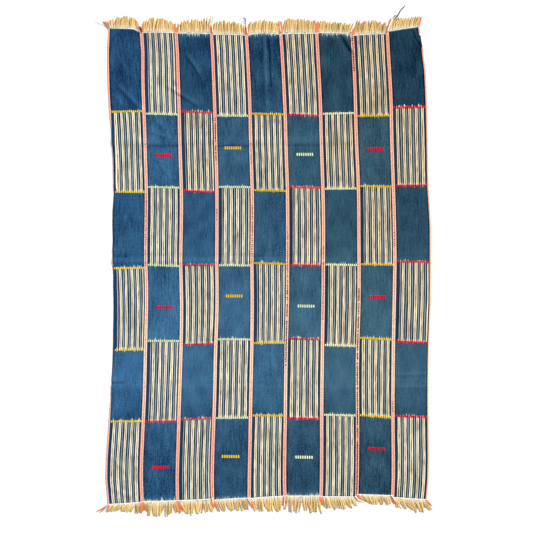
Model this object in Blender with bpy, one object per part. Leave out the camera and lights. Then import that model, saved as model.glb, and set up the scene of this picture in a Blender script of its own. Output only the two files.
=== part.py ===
"""Ikat cloth of nine hand-woven cotton strips, sewn edge to edge and laid out flat on a level surface.

Metres, +Z up. X runs across the nine strips and +Y along the warp, towards the end with the neater fringe.
The origin is the middle of the cloth, fringes included, at the level of the surface that it lies on.
Each woven strip is one thin sheet with its two salmon selvedges, its raised weft lines and its inlaid bars.
Each of its two cut ends carries a row of fringe locks that are fused at their roots into a narrow band.
"""

import math
from collections import namedtuple

import bmesh
import bpy
from mathutils import Vector

MM = 0.001

# Driving sizes
STRIP_COUNT = 9
CLOTH_THICK = 1.5 * MM
PIECE_GAP = 0.3 * MM
SELVEDGE_WIDE = 6.0 * MM
SELVEDGE_RISE = 0.5 * MM
ROLLED_RISE = 1.3 * MM
RIM_RISE_SHARE = 0.6
WEFT_LINE_WIDE = 5.5 * MM
WEFT_LINE_RISE = 0.7 * MM
BAR_WIDE = 52.0 * MM
BAR_TALL = 10.5 * MM
BAR_RISE = 0.9 * MM
BAR_SHOULDER = 1.2 * MM

# How finely the sheets are divided
OUTLINE_STEP = 60 * MM
SOFT_FOLD_STEP = 17 * MM
ROW_CLEAR = 2.5 * MM
CORNER_CLEAR = 18 * MM
LEAST_LIFT = 0.05 * MM
PLAIN_COLUMNS = 5
BAR_COLUMNS = 1

# Fringe
LOCKS_PER_END = 16
ROOT_BAND_DEEP = 5.0 * MM
LOCK_GAP_SHARE = 0.24
LOCK_BENDS = 2
TIP_WIDE_SHARE = 0.55
TIP_THICK_SHARE = 0.6
ROOT_LEAN_SHARE = 0.4
LENGTH_SPREAD = 0.08
OUTER_FACE_FACING = 0.3

# How far a single seam sways from the even spread, and the lengths of its two waves
SEAM_SWAY = 0.9 * MM
SWAY_LENGTHS = (83 * MM, 210 * MM)

# The sides of the cloth and its first and last seams at several heights, in millimetres from its middle.
# The seams between them are spread evenly.
Outline = namedtuple("Outline", "height left_rim first_seam last_seam right_rim")
OUTLINE = (
    Outline(760, -494, -399, 368, 468),
    Outline(736, -493, -395, 370, 470),
    Outline(684, -497, -390, 372, 477),
    Outline(637, -497, -389, 376, 488),
    Outline(513, -494, -386, 382, 494),
    Outline(405, -485, -382, 384, 497),
    Outline(234, -479, -377, 390, 500),
    Outline(125, -481, -378, 392, 507),
    Outline(11, -484, -380, 393, 507),
    Outline(-107, -479, -377, 392, 507),
    Outline(-246, -479, -379, 389, 502),
    Outline(-370, -486, -382, 388, 500),
    Outline(-510, -495, -387, 389, 500),
    Outline(-649, -503, -392, 389, 500),
    Outline(-727, -497, -390, 386, 494),
    Outline(-760, -495, -389, 385, 491),
)

# Heights of each strip's five weft lines at its middle, in millimetres, and how much higher the right end of
# each line lies than its left end.
WeftLines = namedtuple("WeftLines", "heights tilts")
WEFT_LINES = (
    WeftLines((479, 230, -7, -260, -482), (2, -1, 2, 2, 2)),
    WeftLines((471, 244, 1, -233, -482), (-3, -2, -5, 0, 2)),
    WeftLines((477, 232, 2, -243, -475), (-4, -3, -1, 3, 5)),
    WeftLines((466, 245, 1, -228, -471), (-1, -1, -1, 0, 1)),
    WeftLines((471, 234, 7, -239, -464), (-3, -3, -3, 1, 0)),
    WeftLines((468, 244, 2, -227, -473), (-4, -2, -2, -3, -2)),
    WeftLines((473, 240, 3, -247, -463), (3, 1, -2, -3, -3)),
    WeftLines((466, 247, 4, -226, -466), (2, -2, -2, -6, -8)),
    WeftLines((492, 250, 12, -236, -467), (3, 2, -2, -4, -5)),
)

# The two cut ends of each strip, in millimetres: the height at the left, at the middle and at the right,
# how far the right corner is cut back, and the length of the fringe at the same three places.
CutEnd = namedtuple("CutEnd", "left middle right corner fringe_left fringe_middle fringe_right")
TOP_ENDS = (
    CutEnd(735, 734, 731, 14, 19, 39, 22),
    CutEnd(721, 722, 720, 0, 37, 47, 29),
    CutEnd(719, 719, 718, 0, 30, 43, 45),
    CutEnd(715, 715, 713, 0, 40, 42, 31),
    CutEnd(714, 720, 715, 0, 39, 42, 31),
    CutEnd(717, 718, 718, 0, 47, 47, 40),
    CutEnd(721, 720, 718, 0, 40, 35, 33),
    CutEnd(712, 716, 718, 0, 46, 42, 36),
    CutEnd(725, 733, 740, 0, 40, 34, 33),
)
BOTTOM_ENDS = (
    CutEnd(-740, -737, -733, 0, 25, 23, 39),
    CutEnd(-731, -730, -729, 0, 31, 45, 34),
    CutEnd(-728, -726, -723, 0, 37, 42, 33),
    CutEnd(-727, -723, -720, 0, 29, 38, 29),
    CutEnd(-722, -717, -714, 0, 37, 40, 43),
    CutEnd(-714, -714, -714, 0, 42, 49, 48),
    CutEnd(-716, -716, -717, 0, 27, 36, 25),
    CutEnd(-709, -711, -713, 0, 21, 29, 24),
    CutEnd(-718, -722, -725, 0, 26, 37, 30),
)
CORNER_SHARE = 0.86

# How the fringe locks lean sideways: degrees to the right at places across the cloth, in millimetres.
# The lean changes gently from lock to lock, so that neighbours never cross.
Lean = namedtuple("Lean", "across degrees")
TOP_LEANS = (
    Lean(-500, -44),
    Lean(-490, -30),
    Lean(-470, 4),
    Lean(-430, 6),
    Lean(-395, -14),
    Lean(-385, 8),
    Lean(-350, 12),
    Lean(-290, -3),
    Lean(-240, -6),
    Lean(-180, 6),
    Lean(-80, -8),
    Lean(-60, 6),
    Lean(60, 0),
    Lean(200, 8),
    Lean(380, 14),
    Lean(500, 20),
)
BOTTOM_LEANS = (
    Lean(-500, -46),
    Lean(-462, -34),
    Lean(-425, -28),
    Lean(-372, 12),
    Lean(-350, 4),
    Lean(-320, -14),
    Lean(-291, 18),
    Lean(-267, 20),
    Lean(-236, 2),
    Lean(-208, -8),
    Lean(-152, 22),
    Lean(-121, 4),
    Lean(-62, 32),
    Lean(-34, 16),
    Lean(37, 8),
    Lean(62, -6),
    Lean(84, -14),
    Lean(155, 26),
    Lean(180, 14),
    Lean(223, 34),
    Lean(257, 24),
    Lean(285, 38),
    Lean(338, 12),
    Lean(384, 14),
    Lean(400, 34),
    Lean(450, 32),
    Lean(505, 46),
)

# Inlaid bars, by the number of their strip: their place across the strip as a share of its width, then
# their heights and tilts in millimetres.
Bars = namedtuple("Bars", "place heights tilts")
BARS = {
    2: Bars(0.51, (341, -129, -626), (0, 0, 3)),
    4: Bars(0.48, (364, -95, -592), (0, 0, -1)),
    6: Bars(0.52, (344, -126, -594), (0, -2, -2)),
    8: Bars(0.52, (360, -98, -568), (1, -2, -2)),
}

# Creases right across the cloth, where it was folded for storage: their heights on the first and the last
# strip, how far they lift the cloth off the surface and their half-width, in millimetres.
Crease = namedtuple("Crease", "first_strip last_strip rise half_width")
STORAGE_CREASES = (
    Crease(373, 379, 1.2, 14),
    Crease(16, 9, 2.2, 18),
    Crease(-368, -372, 1.3, 14),
)

# Soft folds: the two ends of each ridge, how far it lifts the cloth and its half-width, in millimetres.
Fold = namedtuple("Fold", "start_x start_y end_x end_y rise half_width")
SOFT_FOLDS = (
    Fold(-466, 578, -396, 484, 2.2, 26),
    Fold(-246, 660, -204, 606, 1.6, 20),
    Fold(-268, 540, -222, 512, 1.6, 20),
    Fold(-4, 712, 4, 508, 2.2, 15),
    Fold(232, 706, 262, 652, 2.0, 20),
    Fold(446, 728, 478, 664, 2.4, 20),
    Fold(-352, 452, -322, 430, 1.2, 18),
    Fold(404, -338, 486, -335, 1.2, 14),
    Fold(10, -246, 16, -320, 1.2, 16),
)

# Where a rim has curled under, so that it is twice as thick: the seam that is the rim, and its heights.
RolledRim = namedtuple("RolledRim", "seam low high")
ROLLED_RIMS = (RolledRim(0, -372, 398), RolledRim(STRIP_COUNT, 652, 716))

COLLECTION_NAME = "ikat_cloth"
INDIGO, STRIPED, SALMON, TAN = "indigo_cotton", "resist_striped_cotton", "salmon_selvedge", "tan_fringe"
YELLOW, RED, GREEN, ORANGE = "yellow_weft", "red_weft", "pale_green_weft", "orange_weft"
COLOURS = {
    INDIGO: (0.035, 0.095, 0.180),
    STRIPED: (0.420, 0.400, 0.310),
    SALMON: (0.800, 0.310, 0.230),
    TAN: (0.620, 0.400, 0.170),
    YELLOW: (0.780, 0.480, 0.050),
    RED: (0.600, 0.015, 0.045),
    GREEN: (0.680, 0.780, 0.450),
    ORANGE: (0.760, 0.380, 0.040),
}
COTTON_ROUGHNESS = 0.9
LINE_YARNS = (YELLOW, GREEN, RED, GREEN, ORANGE, RED, GREEN, ORANGE, RED)
LAST_LINE_YARNS = {2: RED}
BAR_YARNS = {2: RED, 4: ORANGE, 6: GREEN, 8: RED}

# One row across a strip: the heights of its left and right ends, and how much the weave rises on it.
Row = namedtuple("Row", "left right line_rise bar_rise")


def clear_scene():
    for obj in list(bpy.data.objects):
        bpy.data.objects.remove(obj, do_unlink=True)


def cotton(name):
    material = bpy.data.materials.new(name)
    material.use_nodes = True
    shader = material.node_tree.nodes["Principled BSDF"]
    shader.inputs["Base Color"].default_value = (*COLOURS[name], 1.0)
    shader.inputs["Roughness"].default_value = COTTON_ROUGHNESS
    shader.inputs["Metallic"].default_value = 0.0
    material.diffuse_color = (*COLOURS[name], 1.0)
    return material


def curve_through(before, start, end, after, share):
    """Catmull-Rom curve from start to end."""
    return 0.5 * (
        2 * start
        + (end - before) * share
        + (2 * before - 5 * start + 4 * end - after) * share**2
        + (3 * start - before - 3 * end + after) * share**3
    )


def outline_at(column, height):
    """A column of the outline table at any height, in metres."""
    rows = OUTLINE
    height = min(max(height / MM, rows[-1].height), rows[0].height)
    i = next(n for n in range(1, len(rows)) if height >= rows[n].height)
    share = (rows[i - 1].height - height) / (rows[i - 1].height - rows[i].height)
    near = [getattr(rows[min(max(n, 0), len(rows) - 1)], column) for n in range(i - 2, i + 2)]
    return curve_through(*near, share) * MM


def seam_wander(seam, height):
    """Small sway of one seam that its neighbours don't share."""
    short, long = SWAY_LENGTHS
    return SEAM_SWAY * math.sin(height / short + 2.1 * seam) * math.sin(height / long + 1.3 * seam)


def smooth_seam_x(seam, height):
    if seam == 0:
        return outline_at("left_rim", height)
    if seam == STRIP_COUNT:
        return outline_at("right_rim", height)
    first = outline_at("first_seam", height)
    last = outline_at("last_seam", height)
    share = (seam - 1) / (STRIP_COUNT - 2)
    return first + (last - first) * share + seam_wander(seam, height)


def seam_x(seam, height):
    """Seam or rim as straight runs of OUTLINE_STEP, counted from 0 at the left rim."""
    below = math.floor(height / OUTLINE_STEP)
    share = height / OUTLINE_STEP - below
    low = smooth_seam_x(seam, below * OUTLINE_STEP)
    high = smooth_seam_x(seam, (below + 1) * OUTLINE_STEP)
    return low + (high - low) * share


def hump(rise, away):
    """Cosine ridge in metres: its rise in millimetres on its line, nothing where away is one or more."""
    return rise * MM * 0.5 * (1 + math.cos(math.pi * min(away, 1.0)))


def crease_height(crease, number):
    share = (number - 1) / (STRIP_COUNT - 1)
    return (crease.first_strip + (crease.last_strip - crease.first_strip) * share) * MM


def away_from_fold(fold, x, y):
    """Distance of a point from the fold's line, in half-widths."""
    start = Vector((fold.start_x, fold.start_y)) * MM
    along = Vector((fold.end_x, fold.end_y)) * MM - start
    share = min(max((Vector((x, y)) - start).dot(along) / along.length_squared, 0.0), 1.0)
    return (Vector((x, y)) - start - along * share).length / (fold.half_width * MM)


def lift(number, x, y):
    """How far a strip is lifted off the surface at a point."""
    lifts = [hump(fold.rise, away_from_fold(fold, x, y)) for fold in SOFT_FOLDS]
    for crease in STORAGE_CREASES:
        lifts.append(hump(crease.rise, abs(y - crease_height(crease, number)) / (crease.half_width * MM)))
    return max(lifts) if max(lifts) > LEAST_LIFT else 0.0


def tilted_row(height, tilt, offset=0.0, line_rise=0.0, bar_rise=0.0):
    """A row from a height and a tilt in millimetres, moved up by offset."""
    middle = height * MM + offset
    return Row(middle - tilt * MM / 2, middle + tilt * MM / 2, line_rise, bar_rise)


def end_height(end, share):
    """Height of a cut end at a share of the strip's width, in metres."""
    rest = abs(2 * share - 1)
    side = end.left if share < 0.5 else end.right
    cut_back = end.corner * max(0.0, share - CORNER_SHARE) / (1 - CORNER_SHARE)
    return (end.middle + (side - end.middle) * rest - cut_back) * MM


def woven_rows(number):
    """The rows that the strip's weave needs: its ends, its weft lines and its bars."""
    ends = (BOTTOM_ENDS[number - 1], TOP_ENDS[number - 1])
    rows = [Row(end.left * MM, end.right * MM, 0.0, 0.0) for end in ends]
    lines = WEFT_LINES[number - 1]
    for height, tilt in zip(lines.heights, lines.tilts):
        for share, rise in ((-0.5, 0.0), (0.0, WEFT_LINE_RISE), (0.5, 0.0)):
            rows.append(tilted_row(height, tilt, share * WEFT_LINE_WIDE, line_rise=rise))
    if number in BARS:
        half = BAR_TALL / 2
        steps = ((-half, 0.0), (BAR_SHOULDER - half, BAR_RISE), (half - BAR_SHOULDER, BAR_RISE), (half, 0.0))
        for height, tilt in zip(BARS[number].heights, BARS[number].tilts):
            for offset, rise in steps:
                rows.append(tilted_row(height, tilt, offset, bar_rise=rise))
    return rows


def add_if_clear(rows, row):
    if all(min(abs(row.left - r.left), abs(row.right - r.right)) > ROW_CLEAR for r in rows):
        rows.append(row)


def soft_fold_heights(number):
    """Heights at which the soft folds on a strip are followed, in metres."""
    heights = []
    for fold in SOFT_FOLDS:
        low, high = sorted((fold.start_y * MM, fold.end_y * MM))
        left, right = sorted((fold.start_x * MM, fold.end_x * MM))
        reach = fold.half_width * MM
        if left - reach < seam_x(number, low) and right + reach > seam_x(number - 1, low):
            count = math.ceil((high - low + 2 * reach) / SOFT_FOLD_STEP)
            heights += spread(low - reach, high + reach, count)
    return heights


def strip_rows(number):
    """All rows of a strip from bottom to top, none of which cross."""
    rows = woven_rows(number)
    for crease in STORAGE_CREASES:
        for share in (0.0, -0.5, 0.5, -1.0, 1.0):
            height = crease_height(crease, number) + share * crease.half_width * MM
            add_if_clear(rows, Row(height, height, 0.0, 0.0))
    low = max(BOTTOM_ENDS[number - 1].left, BOTTOM_ENDS[number - 1].right) * MM
    high = min(TOP_ENDS[number - 1].left, TOP_ENDS[number - 1].right) * MM - CORNER_CLEAR
    kinks = [n * OUTLINE_STEP for n in range(math.ceil(low / OUTLINE_STEP), math.ceil(high / OUTLINE_STEP))]
    for height in kinks + soft_fold_heights(number):
        if low < height < high:
            add_if_clear(rows, Row(height, height, 0.0, 0.0))
    return sorted(rows)


def spread(low, high, count):
    """count values evenly inside low and high, both left out."""
    return [low + (high - low) * n / (count + 1) for n in range(1, count + 1)]


def strip_columns(number):
    """Places of the columns across a strip, as shares of its width, each with its bar share."""
    wide = seam_x(number, 0) - seam_x(number - 1, 0)
    selvedge = SELVEDGE_WIDE / wide
    plain = [0.0, selvedge / 2, selvedge, 1 - selvedge, 1 - selvedge / 2, 1.0]
    if number not in BARS:
        return sorted((share, 0.0) for share in plain + spread(selvedge, 1 - selvedge, PLAIN_COLUMNS))
    left = BARS[number].place - BAR_WIDE / wide / 2
    right = BARS[number].place + BAR_WIDE / wide / 2
    shoulder = BAR_SHOULDER / wide
    plain += [left, right, *spread(selvedge, left, 1), *spread(right, 1 - selvedge, 1)]
    raised = [left + shoulder, *spread(left, right, BAR_COLUMNS), right - shoulder]
    return sorted([(share, 0.0) for share in plain] + [(share, 1.0) for share in raised])


def edge_rise(number, column, last_column, height):
    """How much thicker the cloth is on a selvedge, and more so where the rim has curled under."""
    from_rim = min(column, last_column - column)
    if from_rim > 1:
        return 0.0
    seam = number - 1 if column < last_column / 2 else number
    rolled = any(rim.seam == seam and rim.low * MM < height < rim.high * MM for rim in ROLLED_RIMS)
    crest = ROLLED_RISE if rolled else SELVEDGE_RISE
    return crest if from_rim == 1 else crest * RIM_RISE_SHARE


def face_cotton(number, column, last_column, below, above):
    """Material of the face between two columns and two rows."""
    line_heights = WEFT_LINES[number - 1].heights
    middle = (below.left + above.left) / 2
    lines_above = sum(height * MM > middle for height in line_heights)
    if min(column, last_column - 1 - column) < 2:
        return SALMON
    if max(below.line_rise, above.line_rise) > 0:
        on_last = middle < sum(line_heights[-2:]) / 2 * MM
        return LAST_LINE_YARNS.get(number, LINE_YARNS[number - 1]) if on_last else LINE_YARNS[number - 1]
    if max(below.bar_rise, above.bar_rise) > 0 and min(column, last_column - 1 - column) > 3:
        return BAR_YARNS[number]
    return INDIGO if (lines_above + number) % 2 == 1 else STRIPED


def grid(columns, rows, place):
    """Open grid of faces with a vertex at place(column, row) for each column and row."""
    bm = bmesh.new()
    bmesh.ops.create_grid(bm, x_segments=columns - 1, y_segments=rows - 1, size=0.5)
    for vertex in bm.verts:
        column = round((vertex.co.x + 0.5) * (columns - 1))
        row = round((vertex.co.y + 0.5) * (rows - 1))
        vertex.co = place(column, row)
    return bm


def thicken(bm, rise):
    """Closes a sheet by raising a copy of it by the cloth's thickness and by its own rise at each vertex."""
    made = bmesh.ops.extrude_face_region(bm, geom=bm.faces[:])
    for item in made["geom"]:
        if isinstance(item, bmesh.types.BMVert):
            item.co.z += CLOTH_THICK + item[rise]


def finish(bm, name, collection, materials):
    bmesh.ops.recalc_face_normals(bm, faces=bm.faces[:])
    mesh = bpy.data.meshes.new(name)
    bm.to_mesh(mesh)
    bm.free()
    for material in materials:
        mesh.materials.append(material)
    obj = bpy.data.objects.new(name, mesh)
    collection.objects.link(obj)
    return obj


def across_strip(number, left_height, right_height, share):
    """Point on the straight line from one edge of a strip to the other."""
    left = Vector((seam_x(number - 1, left_height) + PIECE_GAP / 2, left_height))
    right = Vector((seam_x(number, right_height) - PIECE_GAP / 2, right_height))
    return left.lerp(right, share)


def weave_strip(number, collection, cottons):
    """One woven strip with its selvedges, weft lines and bars."""
    rows = strip_rows(number)
    columns = strip_columns(number)

    def place(column, row):
        share = columns[column][0]
        x, y = across_strip(number, rows[row].left, rows[row].right, share)
        if row in (0, len(rows) - 1):
            y = end_height((TOP_ENDS if row else BOTTOM_ENDS)[number - 1], share)
        return Vector((x, y, lift(number, x, y)))

    bm = grid(len(columns), len(rows), place)
    rise = bm.verts.layers.float.new("rise")
    last_column = len(columns) - 1
    for vertex in bm.verts:
        row, column = divmod(vertex.index, len(columns))
        vertex[rise] = edge_rise(number, column, last_column, vertex.co.y)
        vertex[rise] += rows[row].line_rise if 1 < column < last_column - 1 else 0.0
        vertex[rise] += rows[row].bar_rise * columns[column][1]
    names = list(cottons)
    for face in bm.faces:
        row, column = divmod(face.index, last_column)
        face.material_index = names.index(face_cotton(number, column, last_column, rows[row], rows[row + 1]))
    thicken(bm, rise)
    return finish(bm, f"woven_strip_{number}", collection, cottons.values())


def unevenness(seed):
    """A repeatable number from -1 to 1."""
    value = math.sin(seed * 12.9898 + 4.1414) * 43758.5453
    return 2 * (value - math.floor(value)) - 1


def lean_at(leans, x):
    """Sideways lean of a fringe lock in radians, read from a table of leans."""
    x = min(max(x / MM, leans[0].across), leans[-1].across)
    i = next(n for n in range(1, len(leans)) if x <= leans[n].across)
    share = (x - leans[i - 1].across) / (leans[i].across - leans[i - 1].across)
    return math.radians(leans[i - 1].degrees + (leans[i].degrees - leans[i - 1].degrees) * share)


def fringe_length(end, share):
    """Smooth length of the fringe along a cut end, in metres."""
    wide = 2 * share - 1
    slant = (end.fringe_right - end.fringe_left) / 2
    dome = (end.fringe_right + end.fringe_left) / 2 - end.fringe_middle
    return (end.fringe_middle + slant * wide + dome * wide**2) * MM


def tie_fringe(number, top, collection, cottons):
    """The row of fringe locks at one end of a strip, fused into the narrow band at their roots."""
    side = 1 if top else -1
    end = (TOP_ENDS if top else BOTTOM_ENDS)[number - 1]
    leans = TOP_LEANS if top else BOTTOM_LEANS
    slots = 2 * LOCKS_PER_END + 1
    slot_edges = [0.0]
    for n in range(slots):
        slot_edges.append(slot_edges[-1] + (LOCK_GAP_SHARE if n % 2 == 0 else 1 - LOCK_GAP_SHARE))

    def place(column, row):
        share = slot_edges[column] / slot_edges[-1]
        away = side * (PIECE_GAP + row * ROOT_BAND_DEEP)
        x = across_strip(number, end.left * MM + away, end.right * MM + away, share).x
        return Vector((x, end_height(end, share) + away, 0.0))

    bm = grid(slots + 1, 2, place)
    rise = bm.verts.layers.float.new("rise")
    thicken(bm, rise)
    bmesh.ops.recalc_face_normals(bm, faces=bm.faces[:])
    outer = [face for face in bm.faces if face.normal.y * side > OUTER_FACE_FACING]
    outer.sort(key=lambda face: face.calc_center_median().x)
    for n, root in enumerate(outer[1::2]):
        length = fringe_length(end, (n + 0.5) / LOCKS_PER_END)
        length *= 1 + LENGTH_SPREAD * unevenness(number * 40 + n + 500 * top)
        lean = lean_at(leans, root.calc_center_median().x)
        grow_lock(bm, root, lean, side, (length - ROOT_BAND_DEEP) / math.cos(lean))
    name = f"fringe_{'top' if top else 'bottom'}_{number}"
    return finish(bm, name, collection, [cottons[TAN]])


def grow_lock(bm, root, lean, side, reach):
    """Draws one lock out of its root face: it leans more and gets thinner towards its tip, level on the floor."""
    wide = max(v.co.x for v in root.verts) - min(v.co.x for v in root.verts)
    face = root
    spine = root.calc_center_median()
    for bend in range(1, LOCK_BENDS + 1):
        share = bend / LOCK_BENDS
        angle = lean * (ROOT_LEAN_SHARE + (1 - ROOT_LEAN_SHARE) * share)
        spine += Vector((math.sin(angle), side * math.cos(angle), 0)) * (reach / LOCK_BENDS)
        across = Vector((math.cos(angle), -side * math.sin(angle), 0)) * wide / 2
        across *= 1 + (TIP_WIDE_SHARE - 1) * share
        thick = CLOTH_THICK * (1 + (TIP_THICK_SHARE - 1) * share)
        face = bmesh.ops.extrude_discrete_faces(bm, faces=[face])["faces"][0]
        middle = face.calc_center_median()
        for vertex in face.verts:
            sign = 1 if vertex.co.x > middle.x else -1
            height = thick if vertex.co.z > middle.z else 0.0
            vertex.co = Vector((spine.x, spine.y, height)) + across * sign


def centre_on_origin(objects):
    """Moves everything so that the middle of the cloth, fringes included, is the origin."""
    corners = [vertex.co for obj in objects for vertex in obj.data.vertices]
    low = Vector(min(corner[axis] for corner in corners) for axis in range(3))
    high = Vector(max(corner[axis] for corner in corners) for axis in range(3))
    for obj in objects:
        obj.location = (-(low.x + high.x) / 2, -(low.y + high.y) / 2, -low.z)


def main():
    clear_scene()
    collection = bpy.data.collections.new(COLLECTION_NAME)
    bpy.context.scene.collection.children.link(collection)
    cottons = {name: cotton(name) for name in COLOURS}
    objects = []
    for number in range(1, STRIP_COUNT + 1):
        objects.append(weave_strip(number, collection, cottons))
        objects.append(tie_fringe(number, True, collection, cottons))
        objects.append(tie_fringe(number, False, collection, cottons))
    centre_on_origin(objects)


main()
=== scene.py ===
"""Looks of a strip-woven ikat cloth, laid out flat and seen from above.

Nine warp-faced cotton strips lie edge to edge. Each has salmon selvedges, blocks of resist-dyed indigo
and of cream stripes, coloured weft lines between the blocks, and fringe at both ends.
Everything is in metres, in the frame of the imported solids.
"""

import math
import random
from collections import namedtuple

import bmesh
import bpy
import numpy as np
from bpy.props import FloatProperty, IntProperty, PointerProperty, StringProperty
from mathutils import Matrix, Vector


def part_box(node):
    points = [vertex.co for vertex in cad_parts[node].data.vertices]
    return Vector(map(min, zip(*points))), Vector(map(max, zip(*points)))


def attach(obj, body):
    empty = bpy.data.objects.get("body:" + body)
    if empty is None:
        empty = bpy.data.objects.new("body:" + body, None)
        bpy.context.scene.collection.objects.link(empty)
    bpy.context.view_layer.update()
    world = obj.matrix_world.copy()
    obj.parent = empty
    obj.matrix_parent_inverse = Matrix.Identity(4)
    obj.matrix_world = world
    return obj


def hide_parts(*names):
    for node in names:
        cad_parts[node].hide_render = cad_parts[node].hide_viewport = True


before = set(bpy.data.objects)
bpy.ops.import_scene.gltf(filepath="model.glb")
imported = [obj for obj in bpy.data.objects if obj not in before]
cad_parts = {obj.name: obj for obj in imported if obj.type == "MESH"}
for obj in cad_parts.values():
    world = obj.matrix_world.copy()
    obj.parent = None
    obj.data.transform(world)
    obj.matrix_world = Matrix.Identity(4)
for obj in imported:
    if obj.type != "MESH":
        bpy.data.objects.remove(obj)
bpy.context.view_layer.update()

bl_info = {
    "name": "Ikat strip cloth",
    "version": (1, 0, 0),
    "blender": (4, 5, 0),
    "location": "View3D > Sidebar > Ikat cloth",
    "description": "Dresses the solids of a strip-woven ikat cloth with sheets, yarns, stitches and fringe",
    "category": "Object",
}

MM = 0.001
STRIP_COUNT = 9
WOVEN_SLOT = "ikat_cotton"
FRINGE_SLOT = "fringe_cotton"

# The tables are in millimetres from a point near the middle of the cloth. This takes them to the frame.
TABLE_SHIFT = (-1.62, 1.55)

# The nine strips from left to right: the yarns of the five weft lines, where the stripes of the striped
# blocks start (A beside the margin, B moved over by part of a repeat), how teal the indigo is, how warm the
# undyed cotton, how far the strip has faded, and the heights and tilts of the lines from the top down
Strip = namedtuple("Strip", "line_yarns striped teal warm worn heights tilts")
STRIPS = (
    Strip("yellow " * 5, "ABA", 0.00, 0.1, -0.05, (477, 228, -8, -261, -483), (2, -1, 2, 2, 2)),
    Strip("green " * 4 + "red", "BAB", 0.20, 0.2, 0.1, (469, 242, 0, -234, -483), (-3, -2, -5, 0, 2)),
    Strip("red " * 5, "BAB", 0.30, 0.6, 0.0, (475, 230, 1, -244, -476), (-4, -3, -1, 3, 5)),
    Strip("green " * 5, "ABA", 0.50, 0.3, 0.1, (464, 243, 0, -229, -472), (-1, -1, -1, 0, 1)),
    Strip("orange " * 5, "ABA", 0.50, 0.5, 0.0, (469, 232, 6, -240, -465), (-3, -3, -3, 1, 0)),
    Strip("red " * 5, "ABA", 0.80, 0.7, 0.1, (466, 242, 1, -228, -474), (-4, -2, -2, -3, -2)),
    Strip("cream " * 5, "ABA", 0.90, 0.9, 0.0, (471, 238, 2, -248, -464), (3, 1, -2, -3, -3)),
    Strip("orange " * 5, "ABA", 1.00, 1.0, 0.08, (464, 245, 3, -227, -467), (2, -2, -2, -6, -8)),
    Strip("red " * 5, "ABA", 0.90, 0.9, -0.1, (490, 248, 11, -237, -468), (3, 2, -2, -4, -5)),
)

# How faded the indigo is, from the bottom of the cloth to the top: the lower middle lay in the sun
FADE_HEIGHTS = (-0.76, -0.55, -0.36, -0.15, 0.13, 0.36, 0.60, 0.76)
FADE_LEVELS = (0.10, 0.12, 0.70, 0.58, 0.28, 0.36, 0.06, 0.09)

# Weft lines and inlaid bars: the picks of each, how far from the selvedges a line stops, and the number and
# length of a bar's floats
LINE_PICKS = 4
BAR_PICKS = 6
LINE_STOP = 0.8 * MM
BAR_FLOATS = 8
BAR_FLOAT = 6.75 * MM

# Inlaid bars: the strip, the yarn, the bar's place across the strip and its heights and tilts
Bars = namedtuple("Bars", "strip yarn place heights tilts")
BARS = (
    Bars(2, "red", 0.51, (341, -129, -626), (0, 0, 3)),
    Bars(4, "orange", 0.48, (364, -95, -592), (0, 0, -1)),
    Bars(6, "green", 0.52, (344, -126, -594), (0, -2, -2)),
    Bars(8, "red", 0.52, (360, -98, -568), (1, -2, -2)),
)

# Rims that have curled under, from the top down, in millimetres: at each height, how far the rim is drawn
# in, how much of the strip is out of sight and how wide the roll is, which is raised and painted near-black
# as painted shade
Rim = namedtuple("Rim", "height drawn hidden roll")
FLAT_RIM = (Rim(0, 0, 0, 0),)
RIMS = {
    (1, "left"): (
        Rim(470, 0, 0, 0), Rim(430, 0.2, 2.6, 0), Rim(408, 0.8, 5, 0.6), Rim(380, 2, 7, 3.6),
        Rim(330, 4.6, 9.2, 4.8), Rim(240, 3.2, 9.2, 4.6), Rim(226, 2.4, 4.8, 0), Rim(172, -1.2, 4.8, 0),
        Rim(125, -0.6, 4.8, 0), Rim(79, 2.4, 4.8, 0), Rim(24, 2, 4.6, 0), Rim(6, 2.6, 3, 0),
        Rim(-32, 3.6, 4.8, 0), Rim(-60, 2, 4.8, 0), Rim(-153, 0.4, 4.8, 0), Rim(-200, -0.6, 4.8, 0),
        Rim(-293, 0.2, 4.8, 0), Rim(-365, 1.2, 4.8, 0), Rim(-410, 0.6, 2.6, 0), Rim(-510, 0, 0, 0),
    ),
    (9, "right"): (
        Rim(714, 0, 0, 0), Rim(706, 0.4, 9.5, 3.2), Rim(690, 0.4, 9.5, 3), Rim(672, 0, 0, 0),
    ),
}
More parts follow.
